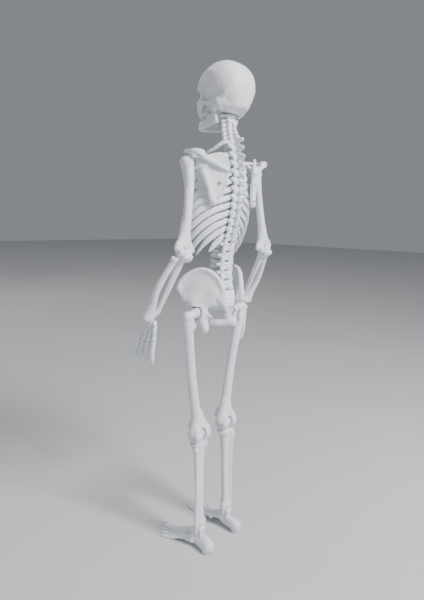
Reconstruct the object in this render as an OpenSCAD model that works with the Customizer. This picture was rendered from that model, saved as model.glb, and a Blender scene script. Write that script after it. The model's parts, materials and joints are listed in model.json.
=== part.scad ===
// Desk-size jointed skeleton. +X is the figure's own left, +Z is up and the face looks along -Y.
// Left-hand bones are drawn first and mirrored for the right side.

/* [Skull] */
// Length of the braincase, brow to back
skull_length = 56.6; // [55:0.2:58]
// Width and height of the braincase
skull_width = 44.6; // [43:0.2:46]
// Wall of the hollow braincase
skull_wall = 2; // [1.8:0.1:2.4]

/* [Spine] */
// Radius of the steel rod that the vertebrae are threaded on
rod_r = 1.5; // [1.3:0.1:1.6]
// Thickness of a spinal disc
disc_t = 1.4; // [1.2:0.1:1.5]

/* [Rib cage] */
// Height of a rib's cross-section
rib_h = 3.6; // [3.2:0.1:4]
// Thickness of a rib, front to back of its wall
rib_t = 2; // [1.8:0.1:2.2]

/* [Shoulder] */
// Half distance between the shoulder joints
shoulder_x = 48; // [47:0.5:49]
// Height of the shoulder joints
shoulder_z = 366; // [365:0.5:367]
// Radius of the humeral head
shoulder_ball_r = 5.8; // [5.6:0.1:5.9]

/* [Hip] */
// Half distance between the hip joints
hip_x = 26; // [25.5:0.5:26.5]
// Height of the hip joints
hip_z = 237; // [236:0.5:238]
// Radius of the femoral head
hip_ball_r = 6; // [5.8:0.1:6]

/* [Leg] */
// Height of the knee pins
knee_z = 118.5; // [118:0.5:119]
// Height of the ankle pins
ankle_z = 19.5; // [19:0.5:20]

/* [Pins] */
// Radius of the knee pins
knee_pin_r = 1.5; // [1.2:0.1:1.6]
// Radius of the elbow pins
elbow_pin_r = 1; // [0.9:0.1:1.1]
// Radius of the ankle pins
ankle_pin_r = 1; // [0.9:0.1:1.2]
// Radius of the jaw pins
jaw_pin_r = 0.8; // [0.7:0.1:0.9]
// Radius of the shoulder and hip swivel pegs
peg_r = 1.8; // [1.6:0.1:2]
// Radial play of a pin or ball in its seat
fit_gap = 0.06; // [0.03:0.01:0.09]

/* [Hidden] */

bone_colour = "whitesmoke";
metal_colour = "silver";
body_gap = 0.3;
big = 200;

// Joint centres of the left side
shoulder = [shoulder_x, 13, shoulder_z];
elbow = [57.5, 20, 292.5];
wrist = [66, -9.5, 235];
fingertip = [64, -18, 190];
hip = [hip_x, 6, hip_z];
knee = [20, 8, knee_z];
ankle = [20.5, 11, ankle_z];

arm_dir = unit(elbow - shoulder);
forearm_dir = unit(wrist - elbow);
hand_dir = unit(fingertip - wrist);
elbow_axis = unit(cross(forearm_dir, arm_dir));

// Heights of the joints between the regions of the spine, and the curve of its body centres
spine_bottom = 257;
lumbar_top = 304;
thoracic_top = 384;
neck_top = 411;
spine_curve = [
    [257, 11], [265, 9.5], [275, 9], [290, 10.5], [304, 13.5], [320, 18], [340, 21.5],
    [360, 21.5], [375, 19], [384, 16.8], [390, 14.4], [396, 12.5], [430, 12.5]
];
lumbar_step = (lumbar_top - spine_bottom) / 5;
thoracic_step = (thoracic_top - lumbar_top) / 12;
cervical_step = (neck_top - thoracic_top) / 7;
bore_r = rod_r + 0.15;
rod_top = 419.5;
rod_straight_z = 403;
rod_bottom = 249;

skull_y = 12.3;
skull_z = 431.5;
skull_base_z = neck_top + body_gap;
jaw_y = 13;
jaw_z = 413.3;
condyle_r = 2;
// Inner face of the lug that holds the jaw's pin
jaw_lug_x = 17.1;

knee_r = 7.6;
talus_r = 5;
talus_half = 4.2;

// ---- Helpers ----

function unit(v) = v / norm(v);
// The curve's bends are eased over this height
bend_ease = 9;
function spine_y(z) = (
    lookup(z - bend_ease, spine_curve) + lookup(z - bend_ease / 2, spine_curve)
    + 2 * lookup(z, spine_curve)
    + lookup(z + bend_ease / 2, spine_curve) + lookup(z + bend_ease, spine_curve)
) / 6;
function spine_point(z) = [0, spine_y(z), z];
function mix(a, b, t) = a + (b - a) * t;
// An across-direction that is never parallel to the given one
function across(d) = abs(unit(d)[0]) > 0.9 ? [0, 1, 0] : [1, 0, 0];

// Frame at p with its z along d and its x as near as possible to s
module at(p, d = [0, 0, 1], s = undef) {
    z = unit(d);
    y = unit(cross(z, is_undef(s) ? across(d) : s));
    x = cross(y, z);
    multmatrix([[x[0], y[0], z[0], p[0]], [x[1], y[1], z[1], p[1]], [x[2], y[2], z[2], p[2]]])
        children();
}

// Solid of revolution from a to b; each profile entry is [fraction of the length, radius]
module turned(a, b, profile) {
    length = norm(b - a);
    ends = [profile[0][0], profile[len(profile) - 1][0]] * length;
    at(a, b - a)
        rotate_extrude($fn = 36)
            polygon(concat([[0, ends[0]]], [for (q = profile) [q[1], q[0] * length]], [[0, ends[1]]]));
}

module rod(a, b, r1, r2) {
    at(a, b - a) cylinder(h = norm(b - a), r1 = r1, r2 = r2, $fn = 36);
}

// Round bar of radius r centred on p, along d
module bar(p, d, half, r) {
    at(p - unit(d) * half, d) cylinder(h = 2 * half, r = r, $fn = 40);
}

// Small bone with rounded ends: r1 and r2 are the end radii, rm the shaft's
function nub(r1, rm, r2) = [
    [0, r1 * 0.5], [0.06, r1 * 0.88], [0.14, r1], [0.3, rm], [0.7, rm], [0.86, r2],
    [0.95, r2 * 0.85], [1, r2 * 0.45]
];

// Closed bar through rings of points, each ring with the same number of sides
module skinned(points, sides) {
    last = len(points) - sides;
    skin = [
        for (i = [0 : sides : last - 1])
            for (j = [0 : sides - 1])
                let (a = i + j, b = i + (j + 1) % sides)
                for (face = [[a, a + sides, b + sides], [a, b + sides, b]]) face
    ];
    first_cap = [for (j = [1 : sides - 2]) [0, j, j + 1]];
    last_cap = [for (j = [1 : sides - 2]) [last, last + j + 1, last + j]];
    polyhedron(points, concat(first_cap, skin, last_cap));
}

// Oval bar along a path; half sizes are [upright, across] at each point
module swept(path, halves, sides = 8) {
    n = len(path);
    turn = 360 / sides;
    skinned([
        for (i = [0 : n - 1])
            let (
                t = unit(path[min(i + 1, n - 1)] - path[max(i - 1, 0)]),
                up = unit([0, 0, 1] - t * t[2]) * halves[i][0],
                out = cross(t, unit(up)) * halves[i][1]
            )
            for (j = [0 : sides - 1]) path[i] + up * cos(turn * j) + out * sin(turn * j)
    ], sides);
}

// Round bar through nearly upright points, with level rings
module swept_round(path, r, sides) {
    turn = 360 / sides;
    skinned([
        for (p = path)
            for (j = [0 : sides - 1]) p + [r * cos(turn * j), r * sin(turn * j), 0]
    ], sides);
}

module right() {
    mirror([1, 0, 0]) children();
}

// ---- Skull ----

// Half outline of the braincase, turned about the front-to-back axis
module braincase(inset) {
    half = skull_length / 2 - inset;
    r = skull_width / 2 - inset;
    translate([0, skull_y, skull_z])
        rotate([-90, 0, 0])
            rotate_extrude($fn = 60)
                polygon([for (a = [-90 : 9 : 90]) [r * pow(cos(a), 0.9), half * sin(a)]]);
}

module both_sides() {
    children();
    mirror([1, 0, 0]) children();
}

module ball(p, r) {
    translate(p) sphere(r = r, $fn = 24);
}

module face_block() {
    hull() {
        both_sides() ball([8, -9, 426], 5);
        both_sides() ball([7.5, -12, 412.5], 3.2);
        both_sides() ball([8.5, 4, 415], 3.6);
    }
    hull() both_sides() {
        ball([12.5, -11, 434], 3.4);
        ball([5, -13, 434.5], 3.4);
        ball([13.5, 0, 436], 4);
    }
    both_sides() {
        hull() {
            ball([14.6, -8.5, 420], 2.8);
            ball([9.5, -9, 413.5], 2.6);
            ball([10, -4, 420], 3);
        }
        rod([15, -8, 420.2], [19.2, 6, 418.6], 1.5, 1.3);
        rod([19.2, 6, 418.6], [18.6, 17, 417], 1.3, 2);
        ball([19.2, 6, 418.6], 1.4);
        rod([14.6, -9, 421], [14.2, -11, 433], 1.8, 2);
        rod([14.6, 20, 414.5], [14.2, 19.6, 406.5], 3.4, 1.6);
    }
    translate([0, 26, 418]) sphere(r = 12.2, $fn = 48);
    bar([0, -15.5, 421], [0, 1, 1.9], 4.4, 1.8);
}

module cranium() {
    color(bone_colour) difference() {
        union() {
            difference() {
                union() {
                    braincase(0);
                    face_block();
                }
                translate([-big, -big + 21, skull_base_z - 4 - big]) cube([2 * big, big, big]);
                translate([-9, -4, skull_base_z - 10]) cube([18, 25, 10]);
                intersection() {
                    braincase(skull_wall);
                    translate([-big, -big, skull_base_z + skull_wall]) cube([2 * big, 2 * big, big]);
                }
            }
            translate([0, spine_y(neck_top), skull_base_z]) cylinder(h = 8, r = 4, $fn = 40);
            both_sides() {
                bar([jaw_lug_x + 1, jaw_y, jaw_z], [1, 0, 0], 1, 2.4);
                rod([jaw_lug_x + 1, jaw_y + 0.5, jaw_z + 0.5], [18.3, 16.5, 417.5], 1, 2);
            }
        }
        both_sides() {
            turned([8.6, -19, 426], [6.4, -3, 425.4], [[0, 5.9], [0.5, 5.3], [0.85, 3], [1, 1.2]]);
            bar([jaw_lug_x - 1.55, jaw_y, jaw_z], [1, 0, 0], 1.55, condyle_r + 0.45);
            bar([17, jaw_y, jaw_z], [1, 0, 0], 3, jaw_pin_r);
            bar([19.5, 20, 415.5], [1, 0, 0], 5, 1.2);
        }
        turned([0, -20, 417.2], [0, -6, 417], [[0, 3], [0.8, 2.4], [1, 1]]);
        translate([0, spine_y(neck_top), skull_base_z - 1])
            cylinder(h = rod_top - skull_base_z + 4, r = rod_r + fit_gap, $fn = 40);
    }
}

module mandible() {
    color(bone_colour) difference() {
        union() {
            both_sides() {
                hull() {
                    bar([jaw_lug_x - 1.5, jaw_y, jaw_z], [1, 0, 0], 1.2, condyle_r);
                    ball([14, 11.5, 398], 1.7);
                    ball([14, 4.5, 399], 1.7);
                }
                hull() {
                    ball([14.2, 4, 400], 1.6);
                    ball([14.4, 3.4, 411], 1.1);
                    ball([14, 9, 400], 1.6);
                }
                hull() {
                    ball([13.8, 10.5, 397], 1.8);
                    ball([13.4, 5, 403.5], 1.6);
                    ball([5.5, -14.4, 398.5], 2.2);
                    ball([5.5, -14.4, 404.5], 1.9);
                }
            }
            hull() both_sides() {
                ball([4.5, -15.2, 398.6], 2.2);
                ball([4.5, -15.2, 404.6], 1.9);
            }
        }
        both_sides() bar([16, jaw_y, jaw_z], [1, 0, 0], 3, jaw_pin_r + fit_gap);
    }
}

module jaw_pins() {
    color(metal_colour) both_sides() bar([jaw_lug_x - 0.5, jaw_y, jaw_z], [1, 0, 0], 2.7, jaw_pin_r);
}

// ---- Spine ----

// One vertebra between two heights on the spine's curve, with its bore for the rod.
// spine_len and spine_drop place the spinous tip; side_len and side_back place the transverse tips.
module vertebra(z_low, z_high, r, spine_len, spine_drop, side_len, side_back) {
    low = spine_point(z_low);
    high = spine_point(z_high);
    h = norm(high - low) - disc_t;
    at(mix(low, high, 0.5), high - low) difference() {
        union() {
            cylinder(h = h, r = r, center = true, $fn = 40);
            translate([-r * 0.7, r * 0.6, -h * 0.36]) cube([r * 1.4, r * 0.4 + 2.6, h * 0.72]);
            rotate([90, 0, -90])
                linear_extrude(height = 1.5, center = true)
                    polygon([
                        [-r - 1.6, h * 0.3],
                        [-r - spine_len, h * 0.2 - spine_drop],
                        [-r - spine_len - 0.4, -h * 0.1 - spine_drop],
                        [-r - spine_len + 0.8, -h * 0.4 - spine_drop],
                        [-r - 1.6, -h * 0.35]
                    ]);
            both_sides() rod([r * 0.4, r + 0.6, 0], [side_len, r + side_back, 0.4], min(1.3, h * 0.34), 1);
        }
        cylinder(h = 2 * h, r = bore_r, center = true, $fn = 40);
    }
}

module atlas() {
    color(bone_colour) vertebra(neck_top - cervical_step, neck_top + disc_t / 2, 4.4, 3.1, 0, 7.4, -2.7);
}

module axis() {
    z = neck_top - 2 * cervical_step;
    color(bone_colour) vertebra(z, z + cervical_step, 4.1, 7.6, 0.8, 6.4, -2.6);
}

module cervical_vertebrae() {
    color(bone_colour) for (i = [0 : 4]) {
        z = thoracic_top + i * cervical_step;
        vertebra(z, z + cervical_step, 4, i == 0 ? 11.4 : 8 + i * 0.3, i == 0 ? 1.6 : 1, 6.6, -1.6);
    }
}

module thoracic_vertebrae() {
    color(bone_colour) for (i = [0 : 11]) {
        z = lumbar_top + i * thoracic_step;
        vertebra(z, z + thoracic_step, 5.2 - i * 0.1, 7.4, 3.2, 7.4, 3.1);
    }
}

module lumbar_vertebrae() {
    color(bone_colour) for (i = [0 : 4]) {
        z = spine_bottom + i * lumbar_step;
        vertebra(z, z + lumbar_step, 6.3 - i * 0.1, 6.8, 0.4, 12, 1.4);
    }
}

// Height and radius of each disc, from the sacrum to the axis
disc_levels = concat(
    [for (i = [0 : 4]) [spine_bottom + i * lumbar_step, 6]],
    [for (i = [0 : 11]) [lumbar_top + i * thoracic_step, 4.9 - i * 0.1]],
    [for (i = [0 : 5]) [thoracic_top + i * cervical_step, 3.7]]
);

module spinal_discs() {
    thickness = disc_t * 0.5;
    color("lightgrey") for (level = disc_levels) {
        z = level[0];
        d = spine_point(z + 1) - spine_point(z - 1);
        at(spine_point(z), d) difference() {
            cylinder(h = thickness, r = level[1], center = true, $fn = 36);
            cylinder(h = disc_t, r = bore_r + 0.15, center = true, $fn = 36);
        }
    }
}

// Rod: bent with the spine below, straight and round where the skull turns on it
module spine_rod() {
    bends = concat(
        [[0, 13.4, rod_bottom]],
        [for (level = disc_levels) spine_point(level[0])],
        [spine_point(rod_straight_z + 1)]
    );
    color(metal_colour) {
        intersection() {
            swept_round(bends, rod_r, 12);
            translate([-5, -5, rod_bottom]) cube([10, 40, rod_straight_z + 0.5 - rod_bottom]);
        }
        translate([0, spine_y(neck_top), rod_straight_z])
            cylinder(h = rod_top - rod_straight_z, r = rod_r, $fn = 40);
    }
}

// ---- Rib cage ----

// Half width, drop from back to front, front limit and end angle of ribs 1 to 12
rib_width = [17, 23.5, 28.5, 32.5, 35.5, 37.5, 39, 39.6, 39, 37.5, 35, 31];
rib_drop = [9, 13, 18, 23, 28, 33, 37, 40, 42, 42, 42, 52];
rib_front = [-6, -10, -13, -15, -17, -18.5, -19, -19, -18, -16, -12, -6];
rib_end = [150, 148, 146, 144, 142, 138, 134, 126, 116, 108, 88, 60];
rib_steps = 9;

function rib_z(i) = thoracic_top - (i + 0.5) * thoracic_step;
function rib_back(i) = spine_y(rib_z(i)) + 6.6;
// Point of rib i (0 is the first) at an angle from straight back
function rib_point(i, angle) = [
    rib_width[i] * sin(angle),
    mix(rib_front[i], rib_back(i), (1 + cos(angle)) / 2),
    rib_z(i) - 0.6 - rib_drop[i] * (1 - cos(angle)) / 2
];
function rib_start(i) = asin(min(0.9, 11.5 / rib_width[i]));
function rib_path(i) = concat(
    [[3.4, spine_y(rib_z(i)) + 1.5, rib_z(i) + 0.4], [7.2, rib_back(i) - 1.6, rib_z(i)]],
    [for (k = [0 : rib_steps]) rib_point(i, mix(rib_start(i), rib_end[i], k / rib_steps))]
);

module rib(i) {
    path = rib_path(i);
    last = len(path) - 1;
    end_size = [rib_h, rib_t] * 0.38;
    neck_size = [rib_h * 0.42, rib_t * 0.56];
    swept(path, [
        for (k = [0 : last]) k == 0 || k == last ? end_size : k < 3 ? neck_size : [rib_h, rib_t] / 2
    ]);
}

module true_ribs() {
    color(bone_colour) for (i = [0 : 6]) rib(i);
}

module false_ribs() {
    color(bone_colour) for (i = [7 : 11]) rib(i);
}

// Breastbone leans forward towards its lower end
sternum_top = [0, -7.6, 370];
sternum_low = [0, -18.2, 322];
function on_sternum(x, t) = mix(sternum_top, sternum_low, t) + [x, 0, 0];

module sternum() {
    length = norm(sternum_low - sternum_top);
    half = [
        [4, -1], [9, -3], [9, -6], [5.4, -14], [4.4, -15], [5.6, -24], [6.6, -33], [4.6, -38],
        [1.8, -40.5], [1.2, -length]
    ];
    other_half = [for (k = [len(half) - 1 : -1 : 0]) [-half[k][0], half[k][1]]];
    color(bone_colour) at(sternum_top, sternum_top - sternum_low, [1, 0, 0])
        rotate([90, 0, 0])
            linear_extrude(height = 3, center = true)
                polygon(concat(half, other_half));
}

// Place on the breastbone where each true rib's cartilage ends
cartilage_seat = [[7.5, 0.1], [4.4, 0.3], [4.6, 0.42], [5.2, 0.53], [5.8, 0.64], [5.6, 0.73], [4.4, 0.79]];

function rib_tip(i) = rib_point(i, rib_end[i] - 3);

module cartilage(a, mid, b) {
    swept([a, mix(a, mid, 0.5), mid, mix(mid, b, 0.55), b], [for (k = [0 : 4]) [1.5, 1.15]], 8);
}

module costal_cartilages() {
    color("gainsboro") both_sides() {
        for (i = [0 : 6]) {
            a = rib_tip(i);
            b = on_sternum(cartilage_seat[i][0], cartilage_seat[i][1]);
            sag = i < 2 ? 0 : (a[2] < b[2] - 4 ? -2 : 0);
            cartilage(a, mix(a, b, 0.45) + [0, -1.2, sag], b);
        }
        // The cartilages of ribs 8 to 10 run up to the one above
        for (i = [7 : 9]) {
            a = rib_tip(i);
            seventh = mix(rib_tip(6), on_sternum(cartilage_seat[6][0], cartilage_seat[6][1]), 0.5);
            above = i == 7 ? seventh + [0, -1.2, -2] : rib_tip(i - 1) + [-5, -3, 1.5];
            cartilage(a, mix(a, above, 0.5) + [0.6, -0.8, -1], above);
        }
    }
}

// ---- Shoulder girdle ----

// The shoulder blade is a flat plate that stands off the back of the ribs
blade_origin = [19, 32, 0];
blade_dir = unit([25, -17, 0]);
blade_normal = [-blade_dir[1], blade_dir[0], 0];
blade_half_t = 0.9;
function on_blade(s, z, n) = blade_origin + blade_dir * s + blade_normal * n + [0, 0, z];
blade_screws = [[5, 352.4], [7.4, 338.6]];

module clavicle() {
    start = [8.4, -8.6, 371.4];
    end = [50.5, 9.6, 376.2];
    color(bone_colour)
        swept(
            [
                start,
                start + [4, -1.6, 0.4],
                mix(start, end, 0.28) + [0, -4, 0.4],
                mix(start, end, 0.5) + [0, -1, 0.6],
                mix(start, end, 0.75) + [0, 2.4, 0.5],
                mix(start, end, 0.92) + [0, 1.4, 0.2],
                end
            ],
            [[1.7, 2.1], [1.8, 2], [1.5, 1.5], [1.4, 1.5], [1.3, 1.9], [1.2, 2.2], [1, 1.8]], 10
        );
}

module scapula() {
    neck = shoulder + [-9.4, 2.2, 0];
    color(bone_colour) difference() {
        union() {
            at(on_blade(0, 0, 0), -blade_normal, blade_dir)
                linear_extrude(height = 2 * blade_half_t, center = true)
                    polygon([
                        [0, 372], [-2.2, 366], [-1, 352], [4, 341], [11, 333.4], [14.6, 331.6], [17.6, 333],
                        [19, 338], [20.6, 347], [24, 357], [26, 363], [26, 370.4], [19.6, 372], [13, 374.6],
                        [4, 376]
                    ]);
            hull() {
                ball(on_blade(1, 363.5, 1), 1);
                ball(on_blade(2, 361.5, 1), 1);
                ball(on_blade(24, 372, 7), 1.2);
                ball(on_blade(24, 368, 1), 1);
            }
            hull() {
                ball(on_blade(24, 372.8, 7), 1.3);
                ball([53.4, 21, 374.2], 1.4);
                ball([54, 12.6, 374.4], 1.3);
                ball([50, 11, 374.4], 1.3);
            }
            rod(on_blade(21, 366, 0), neck + [1.2, 0, 0], 3.4, 5);
            rod([36, 13.5, 370], [40.5, 3.4, 370.6], 2, 1.7);
            ball([40.7, 3, 370.4], 1.9);
            rod([40.7, 3, 370.4], [44, 1.6, 368], 1.8, 1.4);
        }
        translate(shoulder) sphere(r = shoulder_ball_r + body_gap, $fn = 48);
        bar(shoulder + [-14, 0, 0], [1, 0, 0], 9, peg_r + fit_gap);
        for (s = blade_screws) bar(on_blade(s[0], s[1], 0), blade_normal, 4, 0.85);
    }
}

// A peg that turns in the socket's bore, with a flat tab whose trunnions carry the ball
module swivel(centre, ball_r, peg_length) {
    tab_half = ball_r * 0.2;
    translate(centre) {
        bar([0, 0, 0], [0, 1, 0], tab_half, ball_r * 0.5);
        bar([0, 0, 0], [0, 1, 0], ball_r * 0.76, ball_r * 0.2);
        translate([-ball_r - 1, -tab_half, -ball_r * 0.21]) cube([ball_r + 1, 2 * tab_half, ball_r * 0.42]);
        translate([-ball_r - peg_length, 0, 0])
            rotate([0, 90, 0])
                cylinder(h = peg_length - 0.2, r = peg_r, $fn = 40);
    }
}

// The slot and cross bore that a swivel needs in its ball; the slot opens inward and upward
module swivel_seat(centre, ball_r) {
    slot_half = ball_r * 0.2 + body_gap;
    room = ball_r * 0.5 + body_gap;
    translate(centre) {
        bar([0, 0, 0], [0, 1, 0], slot_half, room);
        translate([-2 * ball_r, -slot_half, -room]) cube([2 * ball_r, 2 * slot_half, 3 * ball_r]);
        translate([-room, -slot_half, 0]) cube([2 * room, 2 * slot_half, 2 * ball_r]);
        bar([0, 0, 0], [0, 1, 0], ball_r * 0.78, ball_r * 0.2 + fit_gap);
    }
}

module shoulder_swivel() {
    color(metal_colour) swivel(shoulder, shoulder_ball_r, 8);
}

// ---- Arm ----

elbow_eye_half = 1.9;
elbow_half = 5.6;
elbow_r = 3.7;
// Sideways direction square to the forearm, towards the thumb's side
forearm_side = unit(elbow_axis * -1);

module humerus() {
    foot = elbow - arm_dir * 7;
    color(bone_colour) difference() {
        union() {
            translate(shoulder) sphere(r = shoulder_ball_r, $fn = 48);
            turned(shoulder + arm_dir * 1.5 + [1, 0, 0], foot, [
                [0, 4.6], [0.08, 5], [0.16, 4.2], [0.28, 3.3], [0.5, 3], [0.75, 3.1], [0.9, 3.5], [1, 3.6]
            ]);
            bar(elbow, elbow_axis, elbow_half, elbow_r);
            hull() {
                at(foot - arm_dir * 6, arm_dir, elbow_axis) cylinder(h = 1, r = 3.1, $fn = 24);
                at(elbow - arm_dir * 3.2, arm_dir, elbow_axis)
                    translate([-5.4, -2.2, 0])
                        cube([10.8, 4.4, 1]);
            }
        }
        swivel_seat(shoulder, shoulder_ball_r);
        bar(elbow, elbow_axis, elbow_eye_half + body_gap, elbow_r + 0.9);
        bar(elbow, elbow_axis, 9, elbow_pin_r);
    }
}

module elbow_pin() {
    color(metal_colour) bar(elbow, elbow_axis, elbow_half - 0.1, elbow_pin_r);
}

module ulna() {
    side = forearm_side * -1.6;
    color(bone_colour) difference() {
        union() {
            bar(elbow, elbow_axis, elbow_eye_half, elbow_r + 0.5);
            turned(elbow + forearm_dir * 2.4, wrist + side * 2.3 - forearm_dir * 3.6, [
                [0, 1.7], [0.06, 1.9], [0.12, 2.6], [0.25, 2.3], [0.5, 1.8], [0.85, 1.5], [0.93, 2],
                [0.98, 2], [1, 1.2]
            ]);
        }
        bar(elbow, elbow_axis, 9, elbow_pin_r + fit_gap);
    }
}

module radius() {
    side = forearm_side;
    color(bone_colour) difference() {
        turned(elbow + forearm_dir * 4.5 + side * 4.1, wrist + side * 0.9 + forearm_dir * 0.2, [
            [0, 2.2], [0.05, 2.3], [0.1, 1.6], [0.2, 1.7], [0.45, 1.9], [0.75, 2.1], [0.9, 3],
            [0.97, 3.6], [1, 3.5]
        ]);
        translate(wrist) sphere(r = 2.3 + fit_gap, $fn = 40);
    }
}

// ---- Hand ----

// Direction across the palm, from the little finger's side to the index finger's
palm_hint = [0.1, -1, 0.2];
palm_side = unit(palm_hint - hand_dir * (palm_hint * hand_dir));
palm_front = cross(palm_side, hand_dir);
function in_hand(along, side, off) = wrist + hand_dir * along + palm_side * side + palm_front * off;
// Sideways place of each finger at the wrist and at the knuckle, length of its palm bone, and of its others
finger_root = [3.6, 1.3, -1.2, -3.6];
knuckle_side = [7.2, 2.5, -2.2, -6.6];
metacarpal_end = [22.4, 22.8, 21.2, 19.2];
finger_bones_len = [[9.4, 5.8, 4.4], [10.4, 6.6, 4.8], [9.8, 6.4, 4.6], [7.8, 4.6, 4.2]];
thumb = [in_hand(6.6, 5.8, 0.9), in_hand(13.6, 9.4, 2.6), in_hand(21, 12, 3.4), in_hand(27, 13.2, 3.4)];

module carpal_bones() {
    color(bone_colour) union() {
        ball(wrist, 2.3);
        rod(wrist, in_hand(5, 0, 0), 1.2, 1.6);
        hull() {
            for (side = [-3.4, 3.4]) ball(in_hand(4.6, side, 0), 1.5);
            for (side = [-3.8, 4]) ball(in_hand(7.2, side, 0), 1.7);
        }
    }
}

module metacarpals() {
    color(bone_colour) {
        for (f = [0 : 3]) {
            knuckle = in_hand(metacarpal_end[f], knuckle_side[f], 0);
            turned(in_hand(8.9, finger_root[f], 0), knuckle, nub(1.1, 0.95, 1.6));
        }
        turned(thumb[0], thumb[1], nub(1.1, 1, 1.5));
    }
}

module finger_bones() {
    joint_gap = 0.3;
    // Fingers fan out by this fraction of their place for each millimetre of length
    fan = 0.012;
    color(bone_colour) {
        for (f = [0 : 3]) {
            lengths = finger_bones_len[f];
            starts = [0, lengths[0], lengths[0] + lengths[1]];
            for (k = [0 : 2]) {
                a = metacarpal_end[f] + joint_gap + starts[k];
                spread = knuckle_side[f] * (1 + fan * starts[k]);
                spread_end = knuckle_side[f] * (1 + fan * (starts[k] + lengths[k]));
                turned(in_hand(a, spread, 0), in_hand(a + lengths[k] - joint_gap, spread_end, 0),
                    nub(1.35 - 0.15 * k, 0.95 - 0.1 * k, 1.2 - 0.12 * k));
            }
        }
        for (k = [1 : 2])
            turned(mix(thumb[k], thumb[k + 1], 0.05), thumb[k + 1], nub(1.35, 1, 1.2));
    }
}

// ---- Pelvis ----

// The wing of the hip bone stands in an upright plane through the hip joint
wing_dir = unit([-0.525, 0.851, 0]);
wing_normal = [wing_dir[1], -wing_dir[0], 0];
function on_wing(s, z, n) = [hip[0], hip[1], 0] + wing_dir * s + wing_normal * n + [0, 0, z];
pelvis_screws = [254, 247];
sacrum_half = 12.4;
symphysis_half = 1.2;

module sacrum() {
    down_spine = spine_point(spine_bottom - 1) - spine_point(spine_bottom + 1);
    rod_foot = [0, 13.4, rod_bottom - 0.3];
    color(bone_colour) difference() {
        union() {
            at([0, spine_y(spine_bottom), spine_bottom - disc_t / 2], down_spine, [1, 0, 0])
                cylinder(h = 5, r1 = 6.2, r2 = 6.6, $fn = 40);
            hull() {
                translate([-sacrum_half, 15, 254]) cube([2 * sacrum_half, 7, 1]);
                translate([-11, 17, 246]) cube([22, 8, 1]);
            }
            hull() {
                translate([-11, 17, 246]) cube([22, 8, 1]);
                translate([-4, 19.4, 237.4]) cube([8, 4, 1]);
            }
            translate([-0.9, 22, 241]) cube([1.8, 4.4, 12]);
        }
        at(rod_foot, spine_point(spine_bottom + lumbar_step) - [0, 11.6, spine_bottom - 4])
            cylinder(h = 12, r = bore_r + 0.35, $fn = 40);
        both_sides() for (z = pelvis_screws) bar([14, 19.5, z], [1, 0, 0], 8, 0.7);
    }
}

module coccyx() {
    color(bone_colour) turned([0, 20.8, 237.3], [0, 18.6, 232], [
        [0, 2], [0.25, 2.3], [0.45, 1.5], [0.6, 1.8], [0.8, 1], [0.9, 1.2], [1, 0.5]
    ]);
}

module hip_bone() {
    color(bone_colour) difference() {
        union() {
            at(on_wing(0, 0, 0), wing_normal, wing_dir)
                linear_extrude(height = 3, center = true)
                    polygon([
                        [-17.4, 258.4], [-16.4, 264], [-11, 270.4], [-3, 275.4], [5, 277.4], [13, 275.6],
                        [20, 269.6], [24.6, 261], [26.6, 252.4], [25, 245.6], [20, 244.6], [16, 247.2],
                        [12.6, 245.6], [11, 241], [8, 234], [-6, 236], [-9.4, 243], [-11.4, 249.4],
                        [-14.6, 252.4]
                    ]);
            translate(hip) sphere(r = hip_ball_r + 3, $fn = 48);
            rod(hip + [-3, 3, -4], [22, 13.4, 221.6], 5, 3.6);
            translate([22, 13.6, 222.6]) sphere(r = 3.7, $fn = 36);
            rod(hip + [-5, -3, 0], [4.4, -9.6, 229], 3, 2.6);
            rod([22, 13, 222], [4.6, -8.6, 223.4], 2.6, 2.3);
            rod([4.2, -9.4, 230], [4.2, -8.8, 223], 3, 3);
            rod(on_wing(22, 250, 0), [13, 23, 250], 4.2, 4.6);
        }
        translate(hip) sphere(r = hip_ball_r + body_gap, $fn = 48);
        // The socket is open on its outer side
        translate(hip + [-0.5, -big, -big]) cube([big, 2 * big, big + 7]);
        bar(hip + [-14, 0, 0], [1, 0, 0], 9, peg_r + fit_gap);
        translate([-big + symphysis_half, -big, 0]) cube([big, 2 * big, 2 * big]);
        for (z = pelvis_screws) bar([18, 19.5, z], [1, 0, 0], 7, 0.95);
        translate([-big + sacrum_half + 0.2, 14, 235]) cube([big, 9, 30]);
    }
}

module pubic_symphysis() {
    color("gainsboro") hull() {
        bar([0, -9.4, 230], [1, 0, 0], symphysis_half, 2.2);
        bar([0, -8.8, 223.6], [1, 0, 0], symphysis_half, 2.2);
    }
}

module hip_swivel() {
    color(metal_colour) swivel(hip, hip_ball_r, 7);
}

// ---- Leg ----

knee_tab_half = 2.4;
knee_eye_r = 4.4;

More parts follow.
